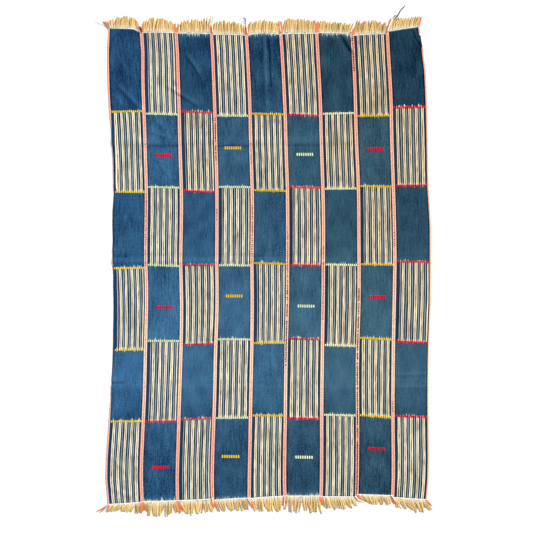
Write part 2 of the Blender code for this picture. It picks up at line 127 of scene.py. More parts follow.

# Folds and dents: the two ends of each, how far it lifts the cloth (a dent is negative) and its half-width.
# Each also paints the indigo: a little lighter on a ridge, as wear, and darker in a dent, as painted shade.
Fold = namedtuple("Fold", "start_x start_y end_x end_y rise half_width")
FOLDS = (
    Fold(-560, 382, 250, 386, 1.6, 22),
    Fold(-560, 368, -60, 371, -1.9, 7),
    Fold(-60, 371, 250, 373, -0.8, 7),
    Fold(-560, 26, 560, 22, 1.6, 50),
    Fold(-560, 32, -440, 30, -2.2, 15),
    Fold(-440, 30, -20, 29, -1.7, 10),
    Fold(-20, 29, 560, 28, -0.9, 12),
    Fold(-560, 12, 200, 12, 1.6, 8),
    Fold(-560, -366, 560, -368, 1.4, 40),
    Fold(-560, -364, -450, -364, -3.4, 9),
    Fold(-450, -364, 560, -370, -0.7, 8),
    Fold(400, -374, 486, -376, 1.6, 8),
    Fold(-459, 556, -396, 488, 4.4, 13),
    Fold(-480, 530, -420, 470, 1.6, 9),
    Fold(-466, 660, -440, 606, 1.4, 11),
    Fold(-246, 646, -212, 596, 4.0, 10),
    Fold(-226, 620, -196, 566, 1.6, 8),
    Fold(-306, 554, -218, 500, 4.0, 9),
    Fold(-12, 708, -4, 500, 4.0, 10),
    Fold(12, 690, 17, 590, 1.6, 7),
    Fold(-36, 660, -33, 560, 1.8, 7),
    Fold(238, 712, 264, 664, 4.2, 8),
    Fold(452, 732, 482, 668, 4.4, 8),
    Fold(-352, 452, -322, 430, 2.4, 10),
    Fold(-370, 420, -300, 396, 2.0, 10),
    Fold(-340, 330, -318, 290, 1.6, 9),
    Fold(404, -338, 486, -335, 2.2, 9),
    Fold(10, -246, 16, -320, 2.2, 10),
    Fold(-488, -590, -440, -640, 1.8, 11),
    Fold(-480, -690, -420, -720, 2.0, 11),
    Fold(449, 731, 478, 674, -3.0, 6),
    Fold(226, 714, 254, 666, -2.0, 6),
    Fold(2, 700, 9, 560, -1.5, 6),
    Fold(-252, 648, -226, 610, -3.0, 6),
    Fold(-151, 696, -92, 662, -2.6, 5),
)

# Sewing thread that shows darker than the selvedges: the seam, its heights and its colour
StitchRun = namedtuple("StitchRun", "seam low high dye")
STITCH_RUNS = (
    StitchRun(7, 602, 710, "black"),
    StitchRun(7, -730, -65, "black"),
    StitchRun(5, -74, 108, "red"),
    StitchRun(5, -313, -74, "black"),
    StitchRun(3, 326, 465, "black"),
    StitchRun(3, 142, 177, "red"),
    StitchRun(4, 316, 378, "red"),
    StitchRun(4, 10, 186, "red"),
    StitchRun(1, 0, 223, "red"),
    StitchRun(6, -170, 62, "red"),
    StitchRun(8, 62, 108, "red"),
    StitchRun(8, -455, -418, "red"),
)

# Loose ends of thread: their name, their dye, their thickness in tenths of a millimetre and their path
Tail = namedtuple("Tail", "name dye thick path")
TAILS = (
    Tail("seam_1_top", "white", 13, ((-393, 738), (-397, 748), (-404, 758))),
    Tail("seam_1_top_right", "white", 13, ((-393, 738), (-388, 752), (-384, 761))),
    Tail("seam_3_top", "white", 26, ((-170, 719), (-172, 739), (-170, 758), (-167, 776))),
    Tail("seam_3_top_left", "white", 14, ((-171, 730), (-175, 748), (-174, 764), (-177, 776))),
    Tail("seam_4_top", "white", 34, ((-63, 718), (-65, 739), (-66, 758), (-69, 770))),
    Tail("seam_5_top", "white", 20, ((41, 721), (38, 742), (37, 764))),
    Tail("seam_7_top", "white", 30, ((257, 721), (263, 739), (270, 755), (281, 772))),
    Tail("seam_8_top", "white", 44, ((370, 724), (377, 742), (384, 758), (391, 770))),
    Tail("seam_3_bottom", "white", 26, ((-171, -719), (-170, -736), (-167, -753))),
    Tail("seam_4_bottom", "white", 24, ((-61, -719), (-49, -730), (-29, -742))),
    Tail("seam_4_bottom_left", "white", 22, ((-63, -721), (-52, -736), (-36, -749))),
    Tail("seam_4_bottom_right", "white", 18, ((-58, -718), (-43, -728), (-24, -735))),
    Tail("seam_5_bottom", "white", 24, ((53, -718), (51, -736), (50, -753))),
    Tail("seam_7_bottom", "white", 28, ((270, -714), (283, -727), (299, -732))),
    Tail("seam_8_bottom", "white", 26, ((382, -711), (397, -730), (416, -753))),
    Tail("seam_8_bottom_left", "white", 20, ((385, -714), (396, -727), (408, -747))),
    Tail("left_top", "grey", 8, ((-498, 744), (-516, 748), (-536, 755))),
    Tail("grey_4_top", "grey", 9, ((-74, 750), (-66, 762), (-76, 770), (-68, 762), (-80, 754))),
    Tail("dark_1_top", "slate", 38, ((-396, 740), (-393, 731), (-389, 722))),
    Tail("dark_9_top", "slate", 26, ((396, 766), (404, 776), (412, 790), (425, 805))),
    Tail(
        "dark_9_tangle", "slate", 20,
        ((388, 766), (396, 774), (404, 766), (398, 760), (390, 768), (396, 776))),
)


class ClothSizes(bpy.types.PropertyGroup):
    """Real sizes of the woven strips."""

    thick: FloatProperty(
        name="Thickness", description="Thickness of the cloth", default=1.5 * MM, unit="LENGTH")
    rest: FloatProperty(
        name="Rest height", description="Gap under flat cloth", default=0.25 * MM, unit="LENGTH")
    width: FloatProperty(
        name="Strip width", description="Width of a strip on the loom", default=109.5 * MM, unit="LENGTH")
    selvedge: FloatProperty(
        name="Selvedge", description="Width of a salmon selvedge", default=4.8 * MM, unit="LENGTH")
    row_step: FloatProperty(
        name="Row step", description="Length of a face along the warp", default=5.0 * MM, unit="LENGTH")
    repeat: FloatProperty(
        name="Repeat", description="Width of one repeat of the stripes", default=18.85 * MM, unit="LENGTH")
    float_long: FloatProperty(
        name="Float", description="Length of a weft float and its gap", default=6.3 * MM, unit="LENGTH")
    pick_wide: FloatProperty(
        name="Pick", description="Thickness of one coloured weft pick", default=1.5 * MM, unit="LENGTH")
    stitch_step: FloatProperty(
        name="Stitch step", description="Distance between seam stitches", default=5.4 * MM, unit="LENGTH")


class FringeSizes(bpy.types.PropertyGroup):
    """Real sizes of the fringes."""

    twists: IntProperty(
        name="Twists", description="Twisted bundles of warp ends in one fringe", default=25, min=8)
    plies: IntProperty(name="Plies", description="Yarns in one twist", default=3, min=2)
    loose: IntProperty(
        name="Loose ends", description="Single warp ends that lie under the twists", default=56, min=0)
    yarn_thick: FloatProperty(
        name="Yarn", description="Thickness of a yarn near its root", default=2.2 * MM, unit="LENGTH")
    twist_radius: FloatProperty(
        name="Radius", description="From the middle of a twist to a yarn", default=1.1 * MM, unit="LENGTH")
    twist_long: FloatProperty(
        name="Twist length", description="Length of one turn of a twist", default=16 * MM, unit="LENGTH")


class DyeColours(bpy.types.PropertyGroup):
    """Colours of the dyed cotton, as sRGB hex values."""

    deep_blue: StringProperty(name="Deep blue", description="Fresh indigo", default="1a3f62")
    pale_blue: StringProperty(name="Pale blue", description="Faded indigo", default="3d7099")
    deep_teal: StringProperty(name="Deep teal", description="Fresh greener indigo", default="1b3644")
    pale_teal: StringProperty(name="Pale teal", description="Faded greener indigo", default="456876")
    dark: StringProperty(name="Dark", description="Twice-dyed indigo of the stripes", default="081a34")
    cream: StringProperty(name="Cream", description="Undyed warp", default="fcf5d4")
    tan: StringProperty(name="Tan", description="Brown line in the cream stripes", default="503820")
    grey: StringProperty(name="Grey", description="Thin greyed stripe", default="b0c2ce")
    warm: StringProperty(name="Warm", description="Cast of the browner cotton", default="f6e4cc")
    feather: StringProperty(name="Feather", description="Undyed threads at cut ends", default="f0e8c8")
    aqua: StringProperty(name="Aqua", description="Half-dyed threads at cut ends", default="7ea4ae")
    salmon: StringProperty(name="Salmon", description="Selvedge warp", default="f8ab96")
    pale_salmon: StringProperty(name="Pale salmon", description="Faded selvedge", default="ffd9be")
    # Painted shade: near-black painted over a rim where it rolls under, in place of the roll's shadow
    under: StringProperty(name="Underside", description="Rim rolled out of the light", default="1c1414")


class StageSizes(bpy.types.PropertyGroup):
    """Camera and light."""

    pixel: FloatProperty(
        name="Pixel", description="Size of one photo pixel on the cloth", default=3.1 * MM, unit="LENGTH")
    lens: FloatProperty(name="Lens", description="Focal length in millimetres", default=85.0, unit="CAMERA")
    key: FloatProperty(name="Key", description="Strength of the soft key light", default=4.6)
    fill: FloatProperty(name="Fill", description="Brightness of the light from all round", default=0.43)


def linear(colour):
    """Linear RGBA of an sRGB hex value."""
    parts = [int(colour[i : i + 2], 16) / 255 for i in (0, 2, 4)]
    return (*(c / 12.92 if c <= 0.04045 else ((c + 0.055) / 1.055) ** 2.4 for c in parts), 1.0)


def add(tree, kind, inputs=(), output=0, **settings):
    """Adds a node with its settings and links, and gives back one of its outputs."""
    node = tree.nodes.new(f"ShaderNode{kind}")
    for name, value in settings.items():
        setattr(node, name, value)
    for place, value in inputs.items() if isinstance(inputs, dict) else enumerate(inputs):
        if isinstance(value, bpy.types.NodeSocket):
            tree.links.new(value, node.inputs[place])
        else:
            node.inputs[place].default_value = value
    return node.outputs[output]


# Settings that come back: a mix of two colours, one colour times another, and a range with soft ends.
# A Mix node of colours takes its share at input 0 and the colours at 6 and 7.
MIXED = {"output": 2, "data_type": "RGBA"}
MULTIPLIED = {**MIXED, "blend_type": "MULTIPLY"}
SOFT = {"interpolation_type": "SMOOTHSTEP"}


def new_material(name, roughness, specular):
    """A new material, its node tree and its shader."""
    material = bpy.data.materials.new(name)
    material.use_nodes = True
    shader = material.node_tree.nodes["Principled BSDF"]
    shader.inputs["Roughness"].default_value = roughness
    shader.inputs["Specular IOR Level"].default_value = specular
    return material, material.node_tree, shader


def dress_shader(tree, shader, colour, height, depth):
    """Gives a shader its colour, and relief of some depth from a height."""
    tree.links.new(colour, shader.inputs["Base Color"])
    bump = add(tree, "Bump", {"Height": height, "Strength": 0.5, "Distance": depth})
    tree.links.new(bump, shader.inputs["Normal"])


# One repeat of the striped warp from the middle of a grey stripe. Each stripe has its width in millimetres,
# the share of its threads that the ties kept undyed, and whether those are brown or greyed.
Stripe = namedtuple("Stripe", "wide undyed brown grey")
STRIPE_CHART = (
    Stripe(1.3, 0.75, 0.0, 1.0),
    Stripe(4.2, 0.00, 0.0, 1.0),
    Stripe(2.8, 1.00, 0.0, 0.0),
    Stripe(2.5, 1.00, 1.0, 0.0),
    Stripe(2.8, 1.00, 0.0, 0.0),
    Stripe(4.2, 0.00, 0.0, 1.0),
    Stripe(1.3, 0.75, 0.0, 1.0),
)

# Blur of a stripe's sides as a share of the repeat, how far from a strip's left side the middle of its first
# cream group lies, how far the B stripes are moved over, and the indigo margins at the left and the right
STRIPE_BLUR = 0.006
FIRST_GROUP = 18.2 * MM
B_SHIFT = 7.7 * MM
LEFT_MARGIN = 12.6 * MM
RIGHT_MARGIN = 8.6 * MM

# Noises of the handwoven cloth: their grain across and along the warp in millimetres, and their detail
Grain = namedtuple("Grain", "wide long detail")
GRAINS = {
    "cloud": Grain(34, 60, 0.0),
    "streak": Grain(1.4, 36, 2.0),
    "fleck": Grain(1.3, 3.6, 1.0),
    "wander": Grain(13, 400, 1.0),
    "wobble": Grain(5, 52, 2.0),
    "dash": Grain(6, 26, 2.0),
    "stain": Grain(26, 60, 2.0),
    "leak": Grain(3, 60, 2.0),
    "thread": Grain(1.3, 90, 2.0),
    "creep": Grain(2.3, 900, 1.0),
    "bead": Grain(1.7, 2.4, 1.0),
}

# How strongly three of the noises mottle the indigo, and how far two of them move the stripes
INDIGO_DEPTHS = {"cloud": 0.65, "streak": 1.8, "fleck": 1.9}
STRIPE_REACHES = {"wander": 3.6 * MM, "wobble": 2.6 * MM}

# How far undyed threads run on past the end of a striped block, and where their ticks inside it fade
CREEP_REACH = 10 * MM
TICK_FADE = (3 * MM, 11 * MM)

# Weave that shows as relief: the warp ribs are drawn at twice their real width, so that they show
RIB_STEP = 2.2 * MM
PICK_STEP = 3.0 * MM
WEAVE_DEPTH = 0.2 * MM

# Marks that each sheet carries for its material, one number at every point
SHEET_MARKS = ("seed", "into", "frost", "shift", "fade_and_painted_shade", "uneven", "teal", "warm", "salmon", "rolled")

# Marks that each strand of yarn carries: its distance along the strand, its share of the strand's length,
# its side from -1 to 1 and its tone
STRAND_MARKS = ("along", "reach", "side", "tone")


def fill_chart(ramp):
    """Fills a colour ramp with the stripe chart: red is undyed, green brown and blue grey."""
    total = sum(stripe.wide for stripe in STRIPE_CHART)
    places = [(0.0, STRIPE_CHART[0])]
    reached = 0.0
    for before, after in zip(STRIPE_CHART, STRIPE_CHART[1:]):
        reached += before.wide / total
        places += [(reached - STRIPE_BLUR, before), (reached + STRIPE_BLUR, after)]
    ramp.elements.remove(ramp.elements[-1])
    for position, stripe in places:
        element = ramp.elements[0] if position == 0 else ramp.elements.new(position)
        element.color = (stripe.undyed, stripe.brown, stripe.grey, 1.0)


# What every part of the cloth's material reads: its node tree, the dyes, the sizes, the distances from the
# strip's left side, its right side, its bottom end and the nearer side, the sheet's marks and the noises
Cloth = namedtuple("Cloth", "tree colours sizes left right along rim mark noise")


def read_cloth(tree, colours, sizes):
    """Nodes that read the places, marks and noises of a strip."""
    left = add(tree, "SeparateXYZ", [add(tree, "UVMap", uv_map="threads")])
    along = left.node.outputs[1]
    mark = {name: add(tree, "Attribute", output=2, attribute_name=name) for name in SHEET_MARKS}
    place = add(tree, "CombineXYZ", [left, along, mark["seed"]])
    noise = {}
    for name, grain in GRAINS.items():
        size = (1 / (grain.wide * MM), 1 / (grain.long * MM), 1.0)
        scaled = add(tree, "VectorMath", [place, size], operation="MULTIPLY")
        noise[name] = add(
            tree, "TexNoise", {"Vector": scaled, "Scale": 1.0, "Detail": grain.detail, "Roughness": 0.55})
    right = add(tree, "Math", [sizes.width, left], operation="SUBTRACT")
    rim = add(tree, "Math", [left, right], operation="MINIMUM")
    return Cloth(tree, colours, sizes, left, right, along, rim, mark, noise)


def dyed_indigo(cloth):
    """Fresh indigo, and indigo as it is now: cloudy, streaked, darkest beside the selvedges, with painted
    shade in the dents of folds.
    """
    tree, colours, mark = cloth.tree, cloth.colours, cloth.mark
    worn = -0.5 * sum(INDIGO_DEPTHS.values())
    for name, depth in INDIGO_DEPTHS.items():
        worn = add(tree, "Math", [cloth.noise[name], depth, worn], operation="MULTIPLY_ADD")
    # The fade mark also holds the wear of fold ridges and the painted shade of dents
    worn = add(tree, "Math", [worn, mark["uneven"], mark["fade_and_painted_shade"]], operation="MULTIPLY_ADD")
    beside = add(tree, "MapRange", [cloth.rim, 11 * MM, 6 * MM, 0.0, -0.45], **SOFT)
    worn = add(tree, "Clamp", [add(tree, "Math", [worn, beside]), -0.35, 1.5])
    fresh, faded = (
        add(tree, "Mix", {0: mark["teal"], 6: linear(blue), 7: linear(teal)}, **MIXED)
        for blue, teal in ((colours.deep_blue, colours.deep_teal), (colours.pale_blue, colours.pale_teal)))
    return fresh, add(tree, "Mix", {0: worn, 6: fresh, 7: faded}, **MIXED, clamp_factor=False)


def undyed_cotton(cloth, brown, grey):
    """Cotton that the ties kept undyed: cream, greyed or brown, stained, each thread with its own tone."""
    tree, colours, noise = cloth.tree, cloth.colours, cloth.noise
    cotton = add(tree, "Mix", {0: grey, 6: linear(colours.cream), 7: linear(colours.grey)}, **MIXED)
    dashed = add(tree, "MapRange", [noise["dash"], 0.36, 0.58, 0.5, 1.0])
    dashed = add(tree, "Math", [dashed, brown], operation="MULTIPLY")
    stained = add(tree, "MapRange", [noise["stain"], 0.5, 0.72, 0.0, 0.35], **SOFT)
    for share in (dashed, stained):
        cotton = add(tree, "Mix", {0: share, 6: cotton, 7: linear(colours.tan)}, **MIXED)
    cotton = add(tree, "Mix", {0: cloth.mark["warm"], 6: cotton, 7: linear(colours.warm)}, **MULTIPLIED)
    light = add(tree, "MapRange", [noise["thread"], 0.3, 0.7, 0.7, 1.2])
    return add(tree, "Mix", {0: 1.0, 6: cotton, 7: add(tree, "CombineColor", [light] * 3)}, **MULTIPLIED)


def striped_warp(cloth, fresh, indigo):
    """The stripe chart with threads that wander and merge, white ticks at its ends and indigo margins."""
    tree, colours, noise = cloth.tree, cloth.colours, cloth.noise
    place = cloth.left
    for name, reach in STRIPE_REACHES.items():
        place = add(tree, "Math", [noise[name], reach, place], operation="MULTIPLY_ADD")
    place = add(tree, "Math", [place, cloth.mark["shift"]], operation="SUBTRACT")
    place = add(tree, "Math", [place, cloth.sizes.repeat], operation="DIVIDE")
    chart = add(tree, "ValToRGB", [add(tree, "Math", [place], operation="FRACT")])
    fill_chart(chart.node.color_ramp)
    undyed = add(tree, "SeparateColor", [chart])
    cotton = undyed_cotton(cloth, *undyed.node.outputs[1:3])
    leak = add(tree, "MapRange", [noise["leak"], 0.5, 0.8, 0.0, 0.18], **SOFT)
    undyed = add(tree, "Math", [undyed, leak], operation="MAXIMUM")
    dark = add(tree, "Mix", {0: 0.16, 6: linear(colours.dark), 7: indigo}, **MIXED)
    striped = add(tree, "Mix", {0: undyed, 6: dark, 7: cotton}, **MIXED)

    tick = add(tree, "MapRange", [cloth.mark["into"], *TICK_FADE, 1.0, 0.0])
    thin = add(tree, "MapRange", [noise["creep"], 0.52, 0.58, 0.0, 0.8], **SOFT)
    tick = add(tree, "Math", [tick, thin], operation="MULTIPLY")
    striped = add(tree, "Mix", {0: tick, 6: striped, 7: linear(colours.feather)}, **MIXED)

    left, right = (
        add(tree, "MapRange", [side, margin - MM, margin + MM, 0.0, 1.0], **SOFT)
        for side, margin in ((cloth.left, LEFT_MARGIN), (cloth.right, RIGHT_MARGIN)))
    field = add(tree, "Math", [left, right], operation="MULTIPLY")
    margin = add(tree, "Mix", {0: 0.8, 6: linear(colours.dark), 7: fresh}, **MIXED)
    return add(tree, "Mix", {0: field, 6: margin, 7: striped}, **MIXED)


def dyed_blocks(cloth, indigo, striped):
    """Blue and striped blocks, whose undyed threads run on past the weft lines, and half-dyed cut ends."""
    tree, colours, creep, frost = cloth.tree, cloth.colours, cloth.noise["creep"], cloth.mark["frost"]
    onward = add(tree, "MapRange", [creep, 0.5, 0.72, 0.0, 1.0])
    onward = add(tree, "Math", [onward, CREEP_REACH, cloth.mark["into"]], operation="MULTIPLY_ADD")
    inside = add(tree, "MapRange", [onward, -0.4 * MM, 1.2 * MM, 0.0, 1.0])
    body = add(tree, "Mix", {0: inside, 6: indigo, 7: striped}, **MIXED)

    # The dye bath reached only some threads near a cut end: frost runs from 0 at the end to 1 where it stops
    ending = add(tree, "MapRange", [creep, 0.5, 0.7, 0.06, 1.0])
    ending = add(tree, "Math", [ending, frost], operation="SUBTRACT")
    ending = add(tree, "MapRange", [ending, 0.0, 0.15, 0.0, 1.0], **SOFT)
    pale = add(tree, "MapRange", [frost, 0.1, 0.6, 0.0, 1.0])
    pale = add(tree, "Mix", {0: pale, 6: linear(colours.feather), 7: linear(colours.aqua)}, **MIXED)
    pale = add(tree, "Mix", {0: inside, 6: pale, 7: indigo}, **MIXED)
    return add(tree, "Mix", {0: ending, 6: body, 7: pale}, **MIXED)


def salmon_selvedge(cloth):
    """Salmon warp of the selvedges, sun-bleached in the middle of the cloth and speckled by the weft."""
    tree, colours, mark = cloth.tree, cloth.colours, cloth.mark
    salmon = add(
        tree, "Mix", {0: mark["salmon"], 6: linear(colours.salmon), 7: linear(colours.pale_salmon)}, **MIXED)
    light = add(tree, "MapRange", [cloth.noise["bead"], 0.32, 0.68, 0.7, 1.3])
    salmon = add(tree, "Mix", {0: 1.0, 6: salmon, 7: add(tree, "CombineColor", [light] * 3)}, **MULTIPLIED)
    warm = add(tree, "Math", [mark["warm"], 0.5], operation="MULTIPLY")
    return add(tree, "Mix", {0: warm, 6: salmon, 7: linear(colours.warm)}, **MULTIPLIED)


def ikat_material(colours, sizes):
    """Handwoven cotton, resist-dyed before weaving: matt, streaked along the warp, finely ribbed."""
    material, tree, shader = new_material("handwoven resist-dyed cotton", 0.95, 0.08)
    cloth = read_cloth(tree, colours, sizes)
    fresh, indigo = dyed_indigo(cloth)
    body = dyed_blocks(cloth, indigo, striped_warp(cloth, fresh, indigo))
    edge = [cloth.rim, sizes.selvedge + 0.4 * MM, sizes.selvedge - 0.4 * MM, 0.0, 1.0]
    edge = add(tree, "MapRange", edge, **SOFT)
    colour = add(tree, "Mix", {0: edge, 6: body, 7: salmon_selvedge(cloth)}, **MIXED)
    # Painted shade: where a rim rolls under, its colour is painted near-black
    colour = add(tree, "Mix", {0: cloth.mark["rolled"], 6: colour, 7: linear(colours.under)}, **MIXED)

    rib = add(tree, "Math", [cloth.left, 2 * math.pi / RIB_STEP], operation="MULTIPLY")
    rib = add(tree, "Math", [rib], operation="SINE")
    pick = add(tree, "Math", [cloth.along, 2 * math.pi / PICK_STEP], operation="MULTIPLY")
    pick = add(tree, "Math", [pick], operation="SINE")
    weave = add(tree, "Math", [rib, pick, rib], operation="MULTIPLY_ADD")
    weave = add(tree, "Math", [cloth.noise["fleck"], 3.0, weave], operation="MULTIPLY_ADD")
    dress_shader(tree, shader, colour, weave, WEAVE_DEPTH)
    return material


# Length of one turn of the plies in a yarn and in a loosely twisted fringe, and how far a ply slants
YARN_TURN = 3.0 * MM
FRINGE_TURN = 5 * MM
PLY_SLANT = 2.2


def twisted_plies(tree, mark, turn_long):
    """Slanting plies of a twisted yarn, from -1 in a groove to 1 on a ply."""
    turn = add(tree, "Math", [mark["along"], 2 * math.pi / turn_long], operation="MULTIPLY")
    turn = add(tree, "Math", [mark["side"], PLY_SLANT, turn], operation="MULTIPLY_ADD")
    return add(tree, "Math", [turn], operation="SINE")


def yarn_material(name, colour, shade):
    """Plied cotton yarn: matt, with painted shade in the slanting grooves of its twist, each strand with its
    own tone and painted shade.
    """
    material, tree, shader = new_material(name, 0.85, 0.1)
    mark = {each: add(tree, "Attribute", output=2, attribute_name=each) for each in STRAND_MARKS}
    ply = twisted_plies(tree, mark, YARN_TURN)
    # Painted shade: the yarn turns towards its shaded colour in the grooves of its twist and by the strand's
    # tone, which holds painted shade
    depth = add(tree, "Math", [mark["tone"], 0.8], operation="MULTIPLY")
    depth = add(tree, "Math", [ply, 0.12, depth], operation="MULTIPLY_ADD")
    dyed = add(tree, "Mix", {0: depth, 6: linear(colour), 7: linear(shade)}, **MIXED)
    dress_shader(tree, shader, dyed, ply, 0.2 * MM)
    return material


def fringe_material(name, root, tip, shade):
    """Loosely twisted warp ends: pale and stained by the dye at the root, golden to the tip, and darker away
    from the root by each strand's tone and painted shade.
    """
    material, tree, shader = new_material(name, 0.9, 0.1)
    mark = {each: add(tree, "Attribute", output=2, attribute_name=each) for each in STRAND_MARKS}
    stain = add(tree, "TexNoise", {"Vector": add(tree, "TexCoord", output=3), "Scale": 190.0, "Detail": 1.0})
    stain = add(tree, "MapRange", [stain, 0.5, 0.7, 0.0, 0.9])
    near = add(tree, "MapRange", [mark["reach"], 0.06, 0.2, 1.0, 0.0])
    stain = add(tree, "Math", [stain, near], operation="MULTIPLY")
    cotton = add(tree, "Mix", {0: stain, 6: linear(root), 7: linear(DYE_STAIN)}, **MIXED)
    golden = add(tree, "MapRange", [mark["reach"], 0.1, 0.5, 0.0, 1.0], **SOFT)
    cotton = add(tree, "Mix", {0: golden, 6: cotton, 7: linear(tip)}, **MIXED)
    ply = twisted_plies(tree, mark, FRINGE_TURN)
    # Painted shade: strands turn towards the shade colour by their tone, which holds the shade of lower
    # plies and of ends under the twists, less near the root
    depth = add(tree, "MapRange", [mark["reach"], 0.05, 0.35, 0.25, 1.0])
    depth = add(tree, "Math", [depth, mark["tone"]], operation="MULTIPLY")
    depth = add(tree, "Math", [ply, 0.08, depth], operation="MULTIPLY_ADD")
    cotton = add(tree, "Mix", {0: depth, 6: cotton, 7: linear(shade)}, **MIXED)
    dress_shader(tree, shader, cotton, ply, 0.25 * MM)
    return material


# Coloured yarns and threads: the material's name, its colour and the colour painted where it lies in shade
Yarn = namedtuple("Yarn", "name colour shade")
YARNS = {
    "yellow": Yarn("golden yellow cotton weft", "ffe418", "b08c10"),
    "orange": Yarn("deep yellow cotton weft", "ffd808", "9c7806"),
    "red": Yarn("crimson cotton weft", "fc0238", "7c061e"),
    "green": Yarn("pale green cotton weft", "eeffd0", "7c9474"),
    "cream": Yarn("pale yellow cotton weft", "feffcc", "9cac7c"),
    "white": Yarn("white cotton sewing thread", "fffdf6", "dcd8cc"),
    "grey": Yarn("grey sewing thread", "a9a6a0", "7c7a76"),
    "slate": Yarn("dark grey sewing thread", "26262a", "101012"),
}

# Sewing threads of the seams, and the half-width and thickness of each one's stitches in millimetres
STITCH_YARNS = {
    "salmon": Yarn("salmon sewing thread", "c87464", "9c5044"),
    "red": Yarn("dark red sewing thread", "9c2e32", "581418"),
    "black": Yarn("black sewing thread", "181215", "080506"),
}
Stitch = namedtuple("Stitch", "half_wide thick")
STITCH_SIZES = {"salmon": Stitch(1.1, 2.0), "red": Stitch(1.5, 3.2), "black": Stitch(1.5, 4.0)}

# Warp ends of the fringe, undyed and of the selvedges, with the colour painted where they lie in shade, and
# the dye that has run into their roots
FringeYarn = namedtuple("FringeYarn", "name root tip shade")
FRINGE_YARNS = (
    FringeYarn("unbleached cotton warp ends", "f8ecca", "fddc94", "85561e"),
    FringeYarn("salmon cotton warp ends", "f4a080", "f69a68", "b04a20"),
)
DYE_STAIN = "6f8c9c"


def yarn_materials(yarns):
    """Plied cotton threads of several colours, in the table's order."""
    return [yarn_material(*yarn) for yarn in yarns.values()]


def mesh_points(mesh):
    """Places of a mesh's points, one row each."""
    points = np.empty(len(mesh.vertices) * 3)
    mesh.vertices.foreach_get("co", points)
    return points.reshape(-1, 3)


def crossings(node, axis, values):
    """Lowest and highest place on the other axis where a CAD node is crossed at each value of an axis."""
    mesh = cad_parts[node].data
    points = mesh_points(mesh)
    ends = np.empty(len(mesh.edges) * 2, dtype=int)
    mesh.edges.foreach_get("vertices", ends)
    start, end = points[ends[0::2]], points[ends[1::2]]
    low, high = [], []
    for value in np.clip(values, points[:, axis].min() + 1e-6, points[:, axis].max() - 1e-6):
        hit = (start[:, axis] <= value) != (end[:, axis] <= value)
        a, b = start[hit], end[hit]
        share = (value - a[:, axis]) / (b[:, axis] - a[:, axis])
        other = a[:, 1 - axis] + share * (b[:, 1 - axis] - a[:, 1 - axis])
        low.append(other.min())
        high.append(other.max())
    return np.array(low), np.array(high)


def follow(place, places, values):
    """Value of a broken line at a place, carried straight on past both of its ends."""
    first = (values[1] - values[0]) / (places[1] - places[0])
    last = (values[-1] - values[-2]) / (places[-1] - places[-2])
    beyond = np.minimum(place - places[0], 0) * first + np.maximum(place - places[-1], 0) * last
    return np.interp(place, places, values) + beyond


# How much further right than on the solids each seam runs, in millimetres, at heights down the cloth
SEAM_HEIGHTS = (705, 660, 575, 450, 325, 200, 80, -45, -170, -295, -415, -540, -665, -705)
SEAM_SHIFTS = {
    1: (2.0, 2.0, 1.0, 1.4, 0.4, 1.4, 1.0, 1.4, 0.6, 0.0, 0.5, 0.6, 0.4, 0.2),
    3: (0.0, 0.0, 0.8, 1.6, 0.0, 0.6, 1.6, 0.6, -0.4, -2.4, -2.8, -3.2, -2.8, -2.8),
    5: (-3.0, -2.2, -1.4, 0.2, -1.4, -0.8, 0.6, -0.8, -1.8, -2.2, -3.4, -3.6, -2.4, -1.0),
}


# A strip's corners are cut at a slant, so its sides and its ends are read only this far into them, at so
# many places along a side and an end
CORNER_DEPTH = 22 * MM
CORNER_SHARE = 0.04
SIDE_READINGS = 90
END_READINGS = 24


def seam_shift(seam, y):
    """How much further right than on the solids a seam runs."""
    shifts = SEAM_SHIFTS.get(seam)
    if shifts is None:
        return 0.0
    return np.interp(y / MM - TABLE_SHIFT[1], SEAM_HEIGHTS[::-1], shifts[::-1]) * MM


class StripShape:
    """Outline of one strip's solid: its side edges by height and its cut ends by share of its width."""

    def __init__(self, number):
        node = f"woven_strip_{number}"
        low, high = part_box(node)
        self.heights = np.linspace(low[1] + CORNER_DEPTH, high[1] - CORNER_DEPTH, SIDE_READINGS)
        self.left_edge, self.right_edge = crossings(node, 1, self.heights)
        self.left_edge = self.left_edge + seam_shift(number - 1, self.heights)
        self.right_edge = self.right_edge + seam_shift(number, self.heights)
        self.shares = np.linspace(CORNER_SHARE, 1 - CORNER_SHARE, END_READINGS)
        self.bottom_line = crossings(node, 0, self.across(low[1], self.shares))[0]
        self.top_line = crossings(node, 0, self.across(high[1], self.shares))[1]

    def left(self, y):
        return follow(y, self.heights, self.left_edge)

    def right(self, y):
        return follow(y, self.heights, self.right_edge)

    def across(self, y, share):
        return self.left(y) + (self.right(y) - self.left(y)) * share

    def bottom(self, share):
        return follow(share, self.shares, self.bottom_line)

    def top(self, share):
        return follow(share, self.shares, self.top_line)


SHAPES = {number: StripShape(number) for number in range(1, STRIP_COUNT + 1)}


def hump(away):
    """Cosine hump: one at nothing, nothing at one and beyond."""
    return 0.5 * (1 + np.cos(np.pi * np.minimum(away, 1.0)))


def fold_humps(x, y, reach=1.0):
    """Each fold with its share of its full rise at each point, over some reach of its half-width."""
    px, py = x / MM - TABLE_SHIFT[0], y / MM - TABLE_SHIFT[1]
    for fold in FOLDS:
        dx, dy = fold.end_x - fold.start_x, fold.end_y - fold.start_y
        share = np.clip(((px - fold.start_x) * dx + (py - fold.start_y) * dy) / (dx * dx + dy * dy), 0, 1)
        away = np.hypot(px - fold.start_x - share * dx, py - fold.start_y - share * dy)
        yield fold, hump(away / (reach * fold.half_width))


